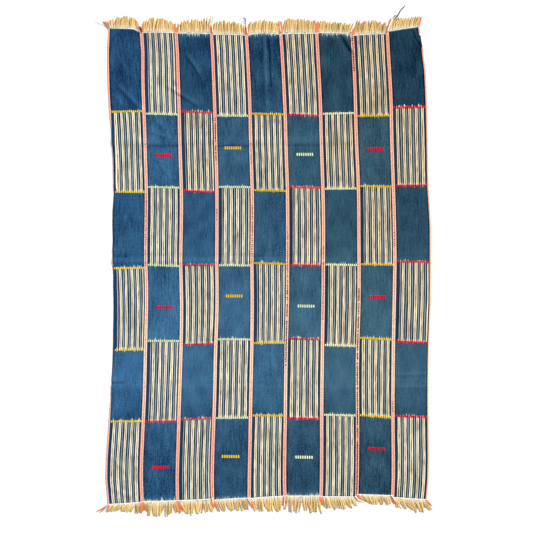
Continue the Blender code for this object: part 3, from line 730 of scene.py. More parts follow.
def lift(x, y):
    """Height of the cloth's underside over the floor, with slow ripples under the folds."""
    px, py = x / MM - TABLE_SHIFT[0], y / MM - TABLE_SHIFT[1]
    height = 0.12 * (np.sin(px / 19 + np.sin(py / 61) * 2) * np.sin(py / 37 + 1) + 1)
    for fold, share in fold_humps(x, y):
        height = height + fold.rise * share
    return np.maximum(height, 0) * MM


def crease(x, y):
    """How the folds paint the cloth at each point: above 0 on a ridge, lighter as wear, and below 0 in a
    dent, darker as painted shade.
    """
    rubbed_and_painted_shade = np.zeros(np.shape(x))
    for fold, share in fold_humps(x, y, 0.7):
        rubbed_and_painted_shade = rubbed_and_painted_shade + fold.rise / 3 * share
    return np.clip(rubbed_and_painted_shade, -1, 1)


def cloth_top(x, y, sizes):
    """Height of the cloth's face."""
    return lift(x, y) + sizes.rest + sizes.thick


def rim_state(number, side, y):
    """How far a strip's rim is drawn in, how much is hidden and how wide its dark roll is, by height."""
    heights, *states = np.array(RIMS.get((number, side), FLAT_RIM)[::-1]).T
    return [np.interp(y, (heights + TABLE_SHIFT[1]) * MM, state * MM) for state in states]


def line_heights(number, share):
    """Heights of a strip's five weft lines at a share of its width, one row for each line."""
    strip = STRIPS[number - 1]
    lines = zip(strip.heights, strip.tilts)
    return np.array([(height + tilt * (share - 0.5) + TABLE_SHIFT[1]) * MM for height, tilt in lines])


def new_object(name, data):
    """A new object in the scene."""
    obj = bpy.data.objects.new(name, data)
    bpy.context.scene.collection.objects.link(obj)
    return obj


def declare(obj, slot, *nodes):
    """Lets a finished piece ride on the cloth's one body, in place of any solids. Its slot is not used."""
    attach(obj, "root")
    if nodes:
        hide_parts(*nodes)


def set_attribute(mesh, name, values):
    """Gives every point of a mesh a number that its material reads."""
    attribute = mesh.attributes.new(name, "FLOAT", "POINT")
    attribute.data.foreach_set("value", np.asarray(values, dtype=np.float32))


# Columns of a sheet in millimetres from its side, and the number of even ones between the two sides
RIM_COLUMNS = (0.0, 0.5, 1.5, 3.0, 4.5, 6.0, 8.0)
INNER_COLUMNS = 19


def column_shares(width):
    """Places of the sheet's columns: close together on the selvedges and wider apart between."""
    wide = width / MM
    inner = np.linspace(RIM_COLUMNS[-1], wide - RIM_COLUMNS[-1], INNER_COLUMNS + 2)[1:-1]
    far_side = [wide - column for column in reversed(RIM_COLUMNS)]
    return np.array([*RIM_COLUMNS, *inner, *far_side]) * MM / width


def sheet_grid(name, columns, rows):
    """A flat grid mesh, with the column and the row of each of its points."""
    bm = bmesh.new()
    bmesh.ops.create_grid(bm, x_segments=columns - 1, y_segments=rows - 1, size=0.5)
    mesh = bpy.data.meshes.new(name)
    bm.to_mesh(mesh)
    bm.free()
    points = mesh_points(mesh)
    column = np.rint((points[:, 0] + 0.5) * (columns - 1)).astype(int)
    row = np.rint((points[:, 1] + 0.5) * (rows - 1)).astype(int)
    return mesh, column, row


# How much further the undyed threads run on past a weft line into a blue block over it. Under the line, the
# undyed threads of a blue block and the ticks of a striped one reach less far by these factors.
RUN_OVER = 0.4 * MM
HELD_UNDER = 1.5
TICKS_UNDER = 3.0

# How far the undyed feathers reach at the cut ends, top and bottom, in millimetres
FEATHERS = ((2, 5), (4, 16), (12, 5), (5, 13), (11, 6), (3, 16), (17, 7), (8, 5), (3, 7))


def into_blocks(number, share, y):
    """Distance into the nearest striped block, negative in the blue ones, at each point."""
    lines = line_heights(number, share)
    striped = ((lines > y).sum(axis=0) + number) % 2 == 0
    away = lines - y
    nearest = np.abs(away).argmin(axis=0)
    over_line = np.take_along_axis(away, nearest[None], axis=0)[0] < 0
    away = np.abs(away).min(axis=0)
    over = np.where(striped, away, RUN_OVER - away)
    under = np.where(striped, away * TICKS_UNDER + RUN_OVER, -away * HELD_UNDER)
    return np.where(over_line, over, under)


def from_cut_end(number, share, y):
    """Distance from the nearer cut end in lengths of its feathers."""
    shape = SHAPES[number]
    top, bottom = FEATHERS[number - 1]
    return np.minimum((shape.top(share) - y) / (top * MM), (y - shape.bottom(share)) / (bottom * MM))


def stripe_shift(number, y, sizes):
    """How far the stripes are moved over at each height, by the letter of the nearest striped block."""
    shape = SHAPES[number]
    ends = [shape.top(0.5), *line_heights(number, 0.5), shape.bottom(0.5)]
    middles = np.array([(high + low) / 2 for high, low in zip(ends, ends[1:])][number % 2 :: 2])
    shifts = np.array([B_SHIFT if letter == "B" else 0.0 for letter in STRIPS[number - 1].striped])
    shifts += FIRST_GROUP + sum(STRIPE_REACHES.values()) / 2 - sizes.repeat / 2
    return shifts[np.abs(middles[:, None] - y[None, :]).argmin(axis=0)]


# How a strip's sides lie: how far in the cloth and its threads give where a rim is drawn in or rolled, how
# wide a roll is and how high for the width that shows, the rounding of the edge, and the rise of a selvedge
CLOTH_GIVE = 30 * MM
THREAD_GIVE = 24 * MM
ROLL_WIDE = 9 * MM
ROLL_RISE = 0.6
EDGE_WIDE = 1.2 * MM
EDGE_DROP = 0.7 * MM
SELVEDGE_RISE = 0.25 * MM

# Relief of the weave, by which the sheet is thinner than the cloth
RELIEF = 0.2 * MM

# Feathers past which a cut end has no effect, and how far into them the cloth is worn
FROST_LIMIT = 9.0
FROST_WORN = 1.6


def sheet_marks(number, share, x, y, roll, sizes):
    """What the cloth's material reads at each point of a strip, whose rims show so wide a roll."""
    strip = STRIPS[number - 1]
    creased = crease(x, y)
    # Dents darken the indigo strongly as painted shade; ridges lighten it a little as wear
    rubbed_and_painted_shade = np.where(creased > 0, 0.25, 0.8) * creased
    frost = np.minimum(from_cut_end(number, share, y), FROST_LIMIT)
    sun = np.interp(y, FADE_HEIGHTS, FADE_LEVELS)
    return {
        "seed": np.full(len(y), number * 3.7),
        "into": into_blocks(number, share, y),
        "frost": frost,
        "shift": stripe_shift(number, y, sizes),
        "fade_and_painted_shade": sun + strip.worn + rubbed_and_painted_shade + 0.4 * hump(np.maximum(frost, 0) / FROST_WORN),
        "uneven": 0.95 + 0.15 * sun + 1.5 * strip.worn - 0.25 * strip.teal,
        "teal": strip.teal * (0.85 + 0.1 * y),
        "warm": strip.warm * (0.6 + 0.5 * y),
        "salmon": np.clip(sun * 1.6, 0.0, 1.0),
        # Painted shade: share of the rolled rim that is painted near-black
        "rolled": np.clip((roll - np.minimum(share, 1 - share) * sizes.width) / MM, 0.0, 1.0),
    }


def weave_sheet(number, sizes, material):
    """One woven strip as a thin sheet on its solid's outline and folds."""
    name = f"ikat_strip_{number}"
    shape = SHAPES[number]
    shares = column_shares(sizes.width)
    length = shape.top(0.5) - shape.bottom(0.5)
    rows = int(round(length / sizes.row_step) + 1)
    mesh, column, row = sheet_grid(name, len(shares), rows)
    share = shares[column]
    step = row / (rows - 1)
    y = shape.bottom(share) * (1 - step) + shape.top(share) * step
    x = shape.across(y, share)

    from_rim = np.minimum(share, 1 - share) * sizes.width
    side = np.where(share < 0.5, 1.0, -1.0)
    rims = zip(rim_state(number, "left", y), rim_state(number, "right", y))
    drawn, hidden, roll = (np.where(share < 0.5, left, right) for left, right in rims)
    x = x + side * drawn * hump(from_rim / CLOTH_GIVE)
    selvedge = hump(np.abs(from_rim - sizes.selvedge / 2) / (sizes.selvedge * 0.55))
    rolled = roll * hump(from_rim / ROLL_WIDE)
    rounding = EDGE_DROP * np.clip(1 - from_rim / EDGE_WIDE, 0, 1) ** 2
    z = cloth_top(x, y, sizes) + SELVEDGE_RISE * selvedge + ROLL_RISE * rolled - rounding
    mesh.vertices.foreach_set("co", np.column_stack([x, y, z]).ravel())

    marks = sheet_marks(number, share, x, y, roll, sizes)
    for mark in SHEET_MARKS:
        set_attribute(mesh, mark, marks[mark])
    warp = share * sizes.width + side * hidden * hump(from_rim / THREAD_GIVE)
    uv_map(mesh, "threads", np.column_stack([warp, y - shape.bottom(0.5)]))

    mesh.materials.append(material)
    mesh.polygons.foreach_set("use_smooth", [True] * len(mesh.polygons))
    obj = new_object(name, mesh)
    solid = obj.modifiers.new("thickness", "SOLIDIFY")
    solid.thickness = sizes.thick - RELIEF
    solid.offset = -1.0
    solid.use_even_offset = True
    declare(obj, WOVEN_SLOT, f"woven_strip_{number}")


def uv_map(mesh, name, places):
    """Gives a mesh a UV map from one place for each of its points."""
    layer = mesh.uv_layers.new(name=name)
    corners = np.empty(len(mesh.loops), dtype=int)
    mesh.loops.foreach_get("vertex_index", corners)
    layer.data.foreach_set("uv", places[corners].ravel())


# One strand of yarn: its points, its thickness and its tone (0 light, 1 shaded) at each, and its material
Strand = namedtuple("Strand", "points thick tone material")


def spin_yarns(name, strands, materials, sides=6):
    """A joined mesh of many round strands, with attributes for their twist and tone."""
    curve = bpy.data.curves.new(name, "CURVE")
    curve.dimensions = "3D"
    curve.bevel_depth = 0.5 * MM
    curve.bevel_resolution = (sides - 4) // 2
    for material in materials:
        curve.materials.append(material)
    for strand in strands:
        spline = curve.splines.new("POLY")
        count = len(strand.points)
        spline.points.add(count - 1)
        spline.points.foreach_set("co", np.column_stack([strand.points, np.ones(count)]).ravel())
        spline.points.foreach_set("radius", np.asarray(strand.thick) / MM)
        spline.material_index = strand.material
        spline.use_smooth = True
    wire = new_object(name, curve)
    graph = bpy.context.evaluated_depsgraph_get()
    mesh = bpy.data.meshes.new_from_object(wire.evaluated_get(graph))
    bpy.data.objects.remove(wire, do_unlink=True)
    bpy.data.curves.remove(curve)
    mesh.name = name
    mark_strands(mesh, strands, sides)
    close_ends(mesh, sides)
    return new_object(name, mesh)


def close_ends(mesh, sides):
    """Closes both ends of every strand, with all faces outward."""
    bm = bmesh.new()
    bm.from_mesh(mesh)
    open_edges = [edge for edge in bm.edges if edge.is_boundary]
    caps = bmesh.ops.holes_fill(bm, edges=open_edges, sides=sides)["faces"]
    for face in caps:
        face.smooth = True
        face.material_index = next(iter(face.edges[0].link_faces)).material_index
    bmesh.ops.recalc_face_normals(bm, faces=bm.faces)
    bm.to_mesh(mesh)
    bm.free()


def mark_strands(mesh, strands, sides):
    """Writes the marks that the yarn's material reads at each point of the strands."""
    if len(mesh.vertices) != sides * sum(len(strand.points) for strand in strands):
        raise RuntimeError(f"{mesh.name}: the strands came out with another number of points")
    along, reach, side, tone = [], [], [], []
    rings = mesh_points(mesh).reshape(-1, sides, 3)
    first = 0
    for strand in strands:
        points = np.asarray(strand.points)
        steps = np.linalg.norm(np.diff(points, axis=0), axis=1)
        length = np.concatenate([[0.0], np.cumsum(steps)])
        tangent = np.gradient(points, axis=0)
        across = np.column_stack([-tangent[:, 1], tangent[:, 0]])
        across /= np.maximum(np.linalg.norm(across, axis=1), 1e-9)[:, None]
        offset = rings[first : first + len(points), :, :2] - points[:, None, :2]
        half = np.maximum(np.asarray(strand.thick) / 2, 1e-6)
        side.append(np.einsum("nsk,nk->ns", offset, across) / half[:, None])
        along.append(np.repeat(length[:, None], sides, axis=1))
        reach.append(along[-1] / length[-1])
        tone.append(np.repeat(np.broadcast_to(strand.tone, len(points))[:, None], sides, axis=1))
        first += len(points)
    for name, values in zip(STRAND_MARKS, (along, reach, side, tone)):
        set_attribute(mesh, name, np.concatenate([v.ravel() for v in values]))


# One float of a coloured pick, from where the warp ties it down: its height over the cloth in millimetres,
# its share of the pick's thickness and its painted shade, darkest where the pick dips under the warp.
# Picks are a little thicker than they lie apart.
FLOAT_HEIGHTS = (-0.35, -0.2, 0.7, 0.9, 0.7, -0.2)
FLOAT_THICKS = (0.65, 0.8, 1.0, 1.0, 1.0, 0.8)
FLOAT_SHADES = (1.0, 0.9, 0.1, 0.0, 0.1, 0.9)
PICK_OVERLAP = 1.08


def weft_picks(number, ends, height, tilt, picks, floats, sizes, chance):
    """Coloured picks side by side, each floating over the warp and tied down between floats."""
    shape = SHAPES[number]
    strands = []
    share = np.linspace(*ends, floats * len(FLOAT_HEIGHTS) + 1)
    up, stout, shaded = (
        np.append(np.tile(marks, floats), marks[0]) for marks in (FLOAT_HEIGHTS, FLOAT_THICKS, FLOAT_SHADES))
    for pick in range(picks):
        drift = (pick - (picks - 1) / 2) * sizes.pick_wide
        sway = chance.uniform(-0.12, 0.12) * MM
        y = (height + tilt * (share - 0.5) + TABLE_SHIFT[1]) * MM + drift + sway
        y = y + 0.15 * MM * np.sin(share * chance.uniform(20, 40) + pick)
        x = shape.across(y, share)
        z = cloth_top(x, y, sizes) + (up * chance.uniform(0.85, 1.1)) * MM
        thick = sizes.pick_wide * PICK_OVERLAP * stout
        # Painted shade: each float darkens where the warp ties it down, plus a little random tone
        strands.append(Strand(np.column_stack([x, y, z]), thick, shaded + chance.uniform(0.0, 0.2), 0))
    return strands


# Height of the tips of the solids' fringe locks, how near to it a tip's points lie, and how near together
# two points are one
LOCK_TIP_HEIGHT = 0.9 * MM
LOCK_TIP_GAP = 0.1 * MM
DOUBLE_GAP = 0.02 * MM

# How far a strand stands off the straight line to its tip, as it leaves the cloth square to it
ROOT_STAND = 0.07

# Salmon ends of the selvedges: how far each one's tip lies from its root, to the right and up, in
# millimetres. A row for each strip holds its top left, top right, bottom left and bottom right.
SALMON_ENDS = (
    ((-16, 21), (-21, 48), (-32, -25), (0, -34)),
    ((5, 37), (-5, 30), (-2, -34), (10, -39)),
    ((-5, 27), (-3, 34), (14, -37), (3, -31)),
    ((0, 33), (0, 25), (2, -28), (22, -32)),
    ((0, 28), (1, 42), (22, -28), (-2, -31)),
    ((-1, 40), (1, 37), (-5, -22), (4, -29)),
    ((0, 37), (3, 31), (3, -25), (18, -12)),
    ((3, 31), (6, 28), (16, -19), (12, -25)),
    ((9, 37), (8, 31), (15, -28), (14, -20)),
)


class FringeField:
    """Way in which the fringe of one end lies, read from the locks of its solid."""

    def __init__(self, number, top):
        self.shape = SHAPES[number]
        self.top = top
        self.name = f"{'top' if top else 'bottom'}_{number}"
        bm = bmesh.new()
        bm.from_mesh(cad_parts[f"fringe_{self.name}"].data)
        bmesh.ops.remove_doubles(bm, verts=bm.verts, dist=DOUBLE_GAP)
        points = np.array([vertex.co for vertex in bm.verts])
        bm.free()
        corners = points[np.abs(points[:, 2] - LOCK_TIP_HEIGHT) < LOCK_TIP_GAP]
        corners = corners[np.argsort(corners[:, 0])]
        self.tips = corners.reshape(-1, 2, 3).mean(axis=1)[:, :2]
        self.shares = (np.arange(len(self.tips)) + 0.5) / len(self.tips)
        self.salmon = [np.array(tip) * MM for tip in SALMON_ENDS[number - 1][0 if top else 2 :][:2]]

    def root(self, share):
        """Where a strand leaves the cloth."""
        y = self.shape.top(share) if self.top else self.shape.bottom(share)
        return np.array([float(self.shape.across(y, share)), float(y)])

    def tip(self, share):
        """How far a strand's tip lies from its root."""
        x, y = (np.interp(share, self.shares, places) for places in self.tips.T)
        return np.array([x, y]) - self.root(share)


def bend_out(tip, t, turn, sway):
    """Flat path from nothing to a tip: straight out of the cloth first, then over to the tip."""
    middle = tip * (0.5 - ROOT_STAND, 0.5)
    path = (4 * middle - tip) * t[:, None] + (2 * tip - 4 * middle) * t[:, None] ** 2
    angle = turn * t
    return np.column_stack([
        path[:, 0] * np.cos(angle) + path[:, 1] * np.sin(angle) + sway * np.sin(4 * t) * t,
        path[:, 1] * np.cos(angle) - path[:, 0] * np.sin(angle),
    ])


# Points along a twist and along a loose end, and the share of its path that a loose end follows
TWIST_STEPS = np.linspace(0, 1, 15)
LOOSE_STEPS = np.linspace(0, 1, 5)
LOOSE_REACH = 6 / 7

# Lengths of the loose ends as shares of the way to the tips, from least to most at the top and one by one at
# the bottom, and the least and most of their tones, darker at the top as painted shade where they lie under
# the twists
TOP_LONG = (0.86, 1.02)
BOTTOM_LONGS = (0.42, 0.5, 0.7, 0.85)
TOP_TONES = (0.4, 1.0)
BOTTOM_TONES = (0.0, 0.7)

# How the twists of a fringe lie: the least and most share of the fringe in a group of them, how far a group
# turns in degrees, how unequal the groups are in length, how far a group is drawn together, and how far one
# twist sways in millimetres and leans in degrees
Lie = namedtuple("Lie", "group turn uneven drawn sway lean")
TOP_LIE = Lie((0.04, 0.1), 3, 0.02, 0.1, 0.6, 6)
BOTTOM_LIE = Lie((0.07, 0.16), 11, 0.07, 0.4, 1.4, 4)

# How far a twist's yarns part towards its tip, and how thick they end
FRAY = 1.2 * MM
TIP_THICK = 0.9 * MM

# Width of the salmon at each side of a fringe in widths of the selvedge, its twists and their distance apart
SALMON_WIDE = 1.25
SALMON_TWISTS = 3
SALMON_APART = 1.2 * MM


def twist_strands(root, path, tone, material, fringe, sizes, chance):
    """Yarns that wind round one another from under the white end thread to frayed tips."""
    t = TWIST_STEPS
    length = np.linalg.norm(path[-1])
    along = np.gradient(path, axis=0)
    along /= np.linalg.norm(along, axis=1)[:, None]
    across = np.column_stack([-along[:, 1], along[:, 0]])
    phase = chance.uniform(0, 2 * math.pi)
    radius = fringe.twist_radius * (0.45 + 0.55 * np.sin(math.pi * np.clip(t * 1.1, 0, 1)) ** 0.7)
    middle = np.maximum(1.1 * sizes.thick, radius + 0.5 * fringe.yarn_thick)
    middle = middle * (1 + 0.25 * chance.random() * t)
    strands = []
    for ply in range(fringe.plies):
        angle = phase + 2 * math.pi * (ply / fringe.plies + t * length / fringe.twist_long)
        flat = root + path + across * (radius * np.cos(angle))[:, None]
        flat = flat + across * (FRAY * chance.uniform(-1, 1) * t**6)[:, None]
        thick = fringe.yarn_thick * chance.uniform(0.85, 1.15) * (1.0 - 0.25 * t**3)
        thick[-1] = TIP_THICK
        z = np.maximum(middle + radius * np.sin(angle), 0.5 * thick)
        # Painted shade: a ply is darker where it winds down under the others
        shade = tone + 0.34 * (0.5 - 0.5 * np.sin(angle)) + 0.1 * chance.random()
        strands.append(Strand(np.column_stack([flat, z]), thick, shade, material))
    return strands


def loose_ends(field, fringe, margin, chance):
    """Untwisted warp ends, flat on the floor under the twists."""
    strands = []
    for n in range(fringe.loose):
        share = margin + (1 - 2 * margin) * (n + chance.uniform(0.2, 0.8)) / fringe.loose
        long = chance.uniform(*TOP_LONG) if field.top else chance.choice(BOTTOM_LONGS)
        turn = math.radians(8) * chance.uniform(-1, 1)
        path = bend_out(field.tip(share) * long, LOOSE_REACH * LOOSE_STEPS, turn, 0)
        # Their tone darkens them as painted shade where they lie under the twists, most at the top
        tone = chance.uniform(*(TOP_TONES if field.top else BOTTOM_TONES))
        thick = fringe.yarn_thick * chance.uniform(0.85, 1.25) * (1.0 - 0.35 * LOOSE_STEPS**2)
        z = 0.5 * thick + 0.5 * MM * (1 - LOOSE_STEPS) ** 2
        strands.append(Strand(np.column_stack([field.root(share) + path, z]), thick, tone, 0))
    return strands


def cotton_twists(field, fringe, sizes, margin, chance):
    """Twists of undyed cotton, in groups that lean and differ in length together."""
    lie = TOP_LIE if field.top else BOTTOM_LIE
    edges = [0.0]
    while edges[-1] < 1:
        edges.append(edges[-1] + chance.uniform(*lie.group))
    edges[-1] = 1.0
    strands = []
    for low, high in zip(edges, edges[1:]):
        turn = math.radians(lie.turn * chance.uniform(-1, 1))
        long = 1 + lie.uneven * chance.uniform(-1, 1)
        count = max(1, round((high - low) * fringe.twists))
        middle = field.root(margin + (1 - 2 * margin) * (low + high) / 2)
        for n in range(count):
            place = low + (high - low) * (n + 0.5 + 0.25 * chance.uniform(-1, 1)) / count
            share = margin + (1 - 2 * margin) * place
            root = field.root(share)
            tip = field.tip(share) * long * (1 + 0.04 * chance.uniform(-1, 1))
            tip = tip + (middle - root) * lie.drawn
            sway = lie.sway * MM * chance.uniform(-1, 1)
            lean = math.radians(lie.lean) * chance.uniform(-1, 1)
            path = bend_out(tip, TWIST_STEPS, turn + lean, sway)
            tone = 0.5 * chance.random() ** 2
            strands += twist_strands(root, path, tone, 0, fringe, sizes, chance)
    return strands


def salmon_twists(field, fringe, sizes, margin, chance):
    """Twists of the selvedges' salmon warp at both sides of a fringe."""
    strands = []
    for right, tip in enumerate(field.salmon):
        apart = -SALMON_APART if right else SALMON_APART
        for n in range(SALMON_TWISTS):
            inward = (n + 0.5) / SALMON_TWISTS * margin
            share = 1 - inward if right else inward
            spread = tip * (1 - 0.12 * n * chance.random()) + np.array([(n - 1) * apart, 0])
            path = bend_out(spread, TWIST_STEPS, math.radians(7) * chance.uniform(-1, 1), 0)
            tone = chance.uniform(0.0, 0.3)
            strands += twist_strands(field.root(share), path, tone, 1, fringe, sizes, chance)
    return strands


def tie_fringe(number, top, fringe, sizes, materials):
    """The fringe of one end: loose ends, twists of cotton over them, and twists of salmon at the sides."""
    field = FringeField(number, top)
    chance = random.Random(100 * number + top)
    margin = SALMON_WIDE * sizes.selvedge / sizes.width
    strands = loose_ends(field, fringe, margin, chance)
    strands += cotton_twists(field, fringe, sizes, margin, chance)
    strands += salmon_twists(field, fringe, sizes, margin, chance)
    obj = spin_yarns(f"fringe_yarns_{field.name}", strands, materials)
    declare(obj, FRINGE_SLOT, f"fringe_{field.name}")


# A whip stitch from one strip to the next: its points across and along the seam, as shares of its half-width
# and of its slant, their heights over the cloth in millimetres and their shares of its thickness
STITCH_ACROSS = np.array([-1.0, -0.55, 0.55, 1.0])
STITCH_ALONG = np.array([-1.0, -0.5, 0.5, 1.0])
STITCH_HEIGHTS = np.array([-0.5, 0.3, 0.3, -0.5])
STITCH_PROFILE = np.array([0.5, 1.0, 1.0, 0.5])
STITCH_SLANT = 1.1 * MM

# How far from the strips' ends the stitches stop, and how often a run of dark thread shows
SEAM_STOP = 3 * MM
RUN_SHOWS = 0.85


def seam_x(seam, y):
    """Where a seam runs: midway between the sides of its two strips."""
    return (SHAPES[seam].right(y) + SHAPES[seam + 1].left(y)) / 2


def stitch_dye(seam, height, chance):
    """Which thread shows at a height of a seam."""
    for run in STITCH_RUNS:
        if run.seam == seam and run.low < height < run.high and chance.random() < RUN_SHOWS:
            return run.dye
    return "salmon"


def sew_seam(seam, sizes, materials):
    """Whip stitches that join two strips, selvedge to selvedge."""
    chance = random.Random(40 + seam)
    low = max(SHAPES[seam].bottom(1.0), SHAPES[seam + 1].bottom(0.0)) + SEAM_STOP
    high = min(SHAPES[seam].top(1.0), SHAPES[seam + 1].top(0.0)) - SEAM_STOP
    dyes = list(STITCH_YARNS)
    strands = []
    y = float(low)
    while y < high:
        dye = stitch_dye(seam, y / MM - TABLE_SHIFT[1], chance)
        stitch = STITCH_SIZES[dye]
        half = stitch.half_wide * MM * chance.uniform(0.8, 1.2)
        slant = STITCH_SLANT * chance.uniform(0.5, 1.4)
        middle = float(seam_x(seam, y)) + 0.3 * MM * chance.uniform(-1, 1)
        xs = middle + STITCH_ACROSS * half
        ys = y + STITCH_ALONG * slant
        zs = cloth_top(xs, ys, sizes) + STITCH_HEIGHTS * MM
        thick = STITCH_PROFILE * stitch.thick * MM
        strands.append(Strand(np.column_stack([xs, ys, zs]), thick, chance.random() * 0.7, dyes.index(dye)))
        y += sizes.stitch_step * chance.uniform(0.85, 1.15)
    declare(spin_yarns(f"seam_stitches_{seam}", strands, materials, sides=4), WOVEN_SLOT)


# White thread of two plies at a cut end: its points, how far out of the cloth it lies, the length of one
# turn, how far its plies stand to the side, its height, how far they stand up and their thickness
TWINE_POINTS = 60
TWINE_OUT = 0.4 * MM
TWINE_TURN = 8 * MM
TWINE_SIDE = 0.75 * MM
TWINE_HEIGHT = 0.25 * MM
TWINE_UP = 0.55 * MM
TWINE_THICK = 1.9 * MM

# End threads reach a little past their strip's sides. One stops short of the right side.
TWINE_ENDS = (-0.01, 1.01)
END_STOPS = {(1, True): 0.9}


def twine_end(number, top, sizes, material):
    """White thread laid in twice and twisted across a strip's cut end."""
    shape = SHAPES[number]
    chance = random.Random(70 * number + top)
    first, last = TWINE_ENDS
    share = np.linspace(first, END_STOPS.get((number, top), last), TWINE_POINTS)
    inside = np.clip(share, 0, 1)
    y = shape.top(inside) + TWINE_OUT if top else shape.bottom(inside) - TWINE_OUT
    x = shape.across(y, share)
    middle = cloth_top(x, y, sizes) + TWINE_HEIGHT
    thick = np.full(TWINE_POINTS, TWINE_THICK)
    strands = []
    phase = chance.uniform(0, 6)
    for ply in range(2):
        angle = share * sizes.width / TWINE_TURN * 2 * math.pi + ply * math.pi + phase
        points = np.column_stack([x, y + TWINE_SIDE * np.cos(angle), middle + TWINE_UP * np.sin(angle)])
        strands.append(Strand(points, thick, 0.1 + 0.1 * ply, 0))
    end = "top" if top else "bottom"
    declare(spin_yarns(f"end_thread_{end}_{number}", strands, [material]), WOVEN_SLOT)


def smooth_path(points, steps):
    """Evenly spaced points of a smooth curve through a few points."""
    points = np.asarray(points, dtype=float)
    places = np.linspace(0, len(points) - 1, steps)
    padded = np.vstack([2 * points[0] - points[1], points, 2 * points[-1] - points[-2]])
    made = []
    for place in places:
        i = min(int(place), len(points) - 2)
        t = place - i
        a, b, c, d = padded[i : i + 4]
        square = 2 * a - 5 * b + 4 * c - d
        cube = 3 * b - a - 3 * c + d
        made.append(0.5 * (2 * b + (c - a) * t + square * t**2 + cube * t**3))
    return np.array(made)


# Points along a loose tail, and the height from which it comes down off the cloth
TAIL_POINTS = 16
TAIL_DROP = 4.2 * MM


def loose_tail(tail, material):
    """A loose end of thread that comes off the cloth and lies down on the floor."""
    flat = (smooth_path(tail.path, TAIL_POINTS) + np.array(TABLE_SHIFT)) * MM
    thick = np.full(TAIL_POINTS, tail.thick * 0.1 * MM)
    z = thick / 2 + TAIL_DROP * hump(np.linspace(0, 1, TAIL_POINTS))
    strand = Strand(np.column_stack([flat, z]), thick, 0.15, 0)
    declare(spin_yarns(f"thread_{tail.name}", [strand], [material]), WOVEN_SLOT)


class IKAT_OT_strips(bpy.types.Operator):
    """Weaves the nine strips as thin sheets on their solids"""

    bl_idname = "ikat.strips"
    bl_label = "Weave strips"

    def execute(self, context):
        sizes = context.scene.ikat_sizes
        material = ikat_material(context.scene.ikat_colours, sizes)
        for number in range(1, STRIP_COUNT + 1):
            weave_sheet(number, sizes, material)
        return {"FINISHED"}


class IKAT_OT_weft_lines(bpy.types.Operator):
    """Lays in the coloured weft lines between the blocks"""

    bl_idname = "ikat.weft_lines"
    bl_label = "Lay in weft lines"

    def execute(self, context):
        sizes = context.scene.ikat_sizes
        materials = dict(zip(YARNS, yarn_materials(YARNS)))
        margin = (sizes.selvedge + LINE_STOP) / sizes.width
        ends = (margin, 1 - margin)
        floats = round((1 - 2 * margin) * sizes.width / sizes.float_long)
        for number, strip in enumerate(STRIPS, start=1):
            chance = random.Random(number)
            yarns = strip.line_yarns.split()
            for yarn in dict.fromkeys(yarns):
                strands = []
                for line, height, tilt in zip(yarns, strip.heights, strip.tilts):
                    if line == yarn:
                        strands += weft_picks(number, ends, height, tilt, LINE_PICKS, floats, sizes, chance)
                obj = spin_yarns(f"weft_lines_{number}_{yarn}", strands, [materials[yarn]], sides=4)
                declare(obj, WOVEN_SLOT)
        return {"FINISHED"}


class IKAT_OT_bars(bpy.types.Operator):
    """Lays in the short bars of the even strips"""

    bl_idname = "ikat.bars"
    bl_label = "Lay in bars"

    def execute(self, context):
        sizes = context.scene.ikat_sizes
        half = BAR_FLOATS / 2 * BAR_FLOAT / sizes.width
        for bars in BARS:
            chance = random.Random(300 + bars.strip)
            ends = (bars.place - half, bars.place + half)
            strands = []
            for height, tilt in zip(bars.heights, bars.tilts):
                strands += weft_picks(bars.strip, ends, height, tilt, BAR_PICKS, BAR_FLOATS, sizes, chance)
            material = bpy.data.materials[YARNS[bars.yarn].name]
            declare(spin_yarns(f"inlaid_bars_{bars.strip}", strands, [material], sides=4), WOVEN_SLOT)
        return {"FINISHED"}


class IKAT_OT_fringes(bpy.types.Operator):
    """Makes the fringe of both ends of every strip"""

    bl_idname = "ikat.fringes"
    bl_label = "Make fringes"

    def execute(self, context):
        sizes, fringe = context.scene.ikat_sizes, context.scene.ikat_fringe
        materials = [fringe_material(*yarn) for yarn in FRINGE_YARNS]
        for number in range(1, STRIP_COUNT + 1):
            for top in (True, False):
                tie_fringe(number, top, fringe, sizes, materials)
        return {"FINISHED"}


class IKAT_OT_seams(bpy.types.Operator):
    """Sews the eight seams with whip stitches"""

    bl_idname = "ikat.seams"
    bl_label = "Sew seams"

    def execute(self, context):
        materials = yarn_materials(STITCH_YARNS)
        for seam in range(1, STRIP_COUNT):
            sew_seam(seam, context.scene.ikat_sizes, materials)
        return {"FINISHED"}


class IKAT_OT_end_threads(bpy.types.Operator):
    """Twists white thread across the cut ends and leaves its loose tails"""

    bl_idname = "ikat.end_threads"
    bl_label = "Twine ends"

    def execute(self, context):
        sizes = context.scene.ikat_sizes
        white = bpy.data.materials[YARNS["white"].name]
        for number in range(1, STRIP_COUNT + 1):
            for top in (True, False):
                twine_end(number, top, sizes, white)
        for tail in TAILS:
            loose_tail(tail, bpy.data.materials[YARNS[tail.dye].name])
        return {"FINISHED"}


# The floor reaches this far from the middle, and the photo is this many pixels wide and high
FLOOR_HALF = 6.0
PHOTO_PIXELS = 533
SENSOR_WIDE = 36.0

# Point of the cloth under the middle of the photo, in millimetres in the frame
PHOTO_CENTRE = (-5.5, -1.6)

# Way that the soft key light shines, from the upper right of the photo, and the angle that it seems to fill
KEY_WAY = (-0.66, -0.6, -0.56)
KEY_ANGLE = math.radians(24)


def floor_material():
    """Matt white paper sweep: pale and even."""
    material, tree, shader = new_material("matt white paper", 0.95, 0.1)
    speck = add(tree, "TexNoise", {"Vector": add(tree, "TexCoord", output=3), "Scale": 6.0, "Detail": 2.0})
    paper = add(tree, "Mix", {0: speck, 6: linear("f4f4f3"), 7: linear("fafafa")}, **MIXED)
    tree.links.new(paper, shader.inputs["Base Color"])
    return material


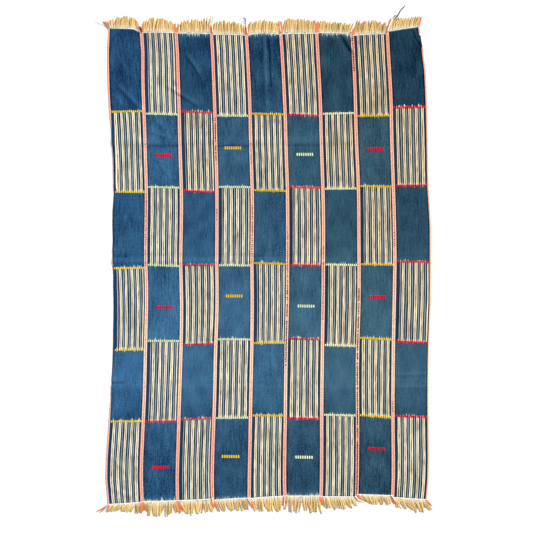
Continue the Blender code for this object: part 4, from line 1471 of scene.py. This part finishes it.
class IKAT_OT_stage(bpy.types.Operator):
    """Sets the floor, the soft light and the camera"""

    bl_idname = "ikat.stage"
    bl_label = "Set stage"

    def execute(self, context):
        scene, stage = context.scene, context.scene.ikat_stage
        bm = bmesh.new()
        bmesh.ops.create_grid(bm, x_segments=1, y_segments=1, size=FLOOR_HALF)
        floor = bpy.data.meshes.new("floor")
        bm.to_mesh(floor)
        bm.free()
        floor.materials.append(floor_material())
        new_object("floor", floor)

        key = bpy.data.lights.new("soft key", "SUN")
        key.energy = stage.key
        key.angle = KEY_ANGLE
        new_object("soft key", key).rotation_euler = Vector(KEY_WAY).to_track_quat("-Z", "Y").to_euler()

        world = bpy.data.worlds.new("soft room")
        world.use_nodes = True
        background = world.node_tree.nodes["Background"]
        background.inputs["Strength"].default_value = stage.fill
        background.inputs["Color"].default_value = (1.0, 1.0, 1.0, 1.0)
        scene.world = world

        camera = bpy.data.cameras.new("camera")
        camera.lens = stage.lens
        camera.sensor_width = SENSOR_WIDE
        distance = stage.pixel * PHOTO_PIXELS * camera.lens / camera.sensor_width
        scene.camera = new_object("camera", camera)
        scene.camera.location = (*(value * MM for value in PHOTO_CENTRE), distance)
        scene.view_settings.view_transform = "Standard"
        return {"FINISHED"}


class IKAT_PT_panel(bpy.types.Panel):
    """Lists the steps that dress the cloth"""

    bl_idname = "IKAT_PT_panel"
    bl_label = "Ikat cloth"
    bl_space_type = "VIEW_3D"
    bl_region_type = "UI"
    bl_category = "Ikat cloth"

    def draw(self, context):
        for operator in OPERATORS:
            self.layout.operator(operator.bl_idname)


GROUPS = {
    "ikat_sizes": ClothSizes,
    "ikat_fringe": FringeSizes,
    "ikat_colours": DyeColours,
    "ikat_stage": StageSizes,
}
OPERATORS = (
    IKAT_OT_stage,
    IKAT_OT_strips,
    IKAT_OT_weft_lines,
    IKAT_OT_bars,
    IKAT_OT_fringes,
    IKAT_OT_seams,
    IKAT_OT_end_threads,
)
CLASSES = (*GROUPS.values(), *OPERATORS, IKAT_PT_panel)


def register():
    for entry in CLASSES:
        bpy.utils.register_class(entry)
    for name, group in GROUPS.items():
        setattr(bpy.types.Scene, name, PointerProperty(type=group))


def unregister():
    for name in GROUPS:
        delattr(bpy.types.Scene, name)
    for entry in reversed(CLASSES):
        bpy.utils.unregister_class(entry)


def main():
    register()
    for operator in OPERATORS:
        area, name = operator.bl_idname.split(".")
        getattr(getattr(bpy.ops, area), name)()


if __name__ == "__main__":
    main()
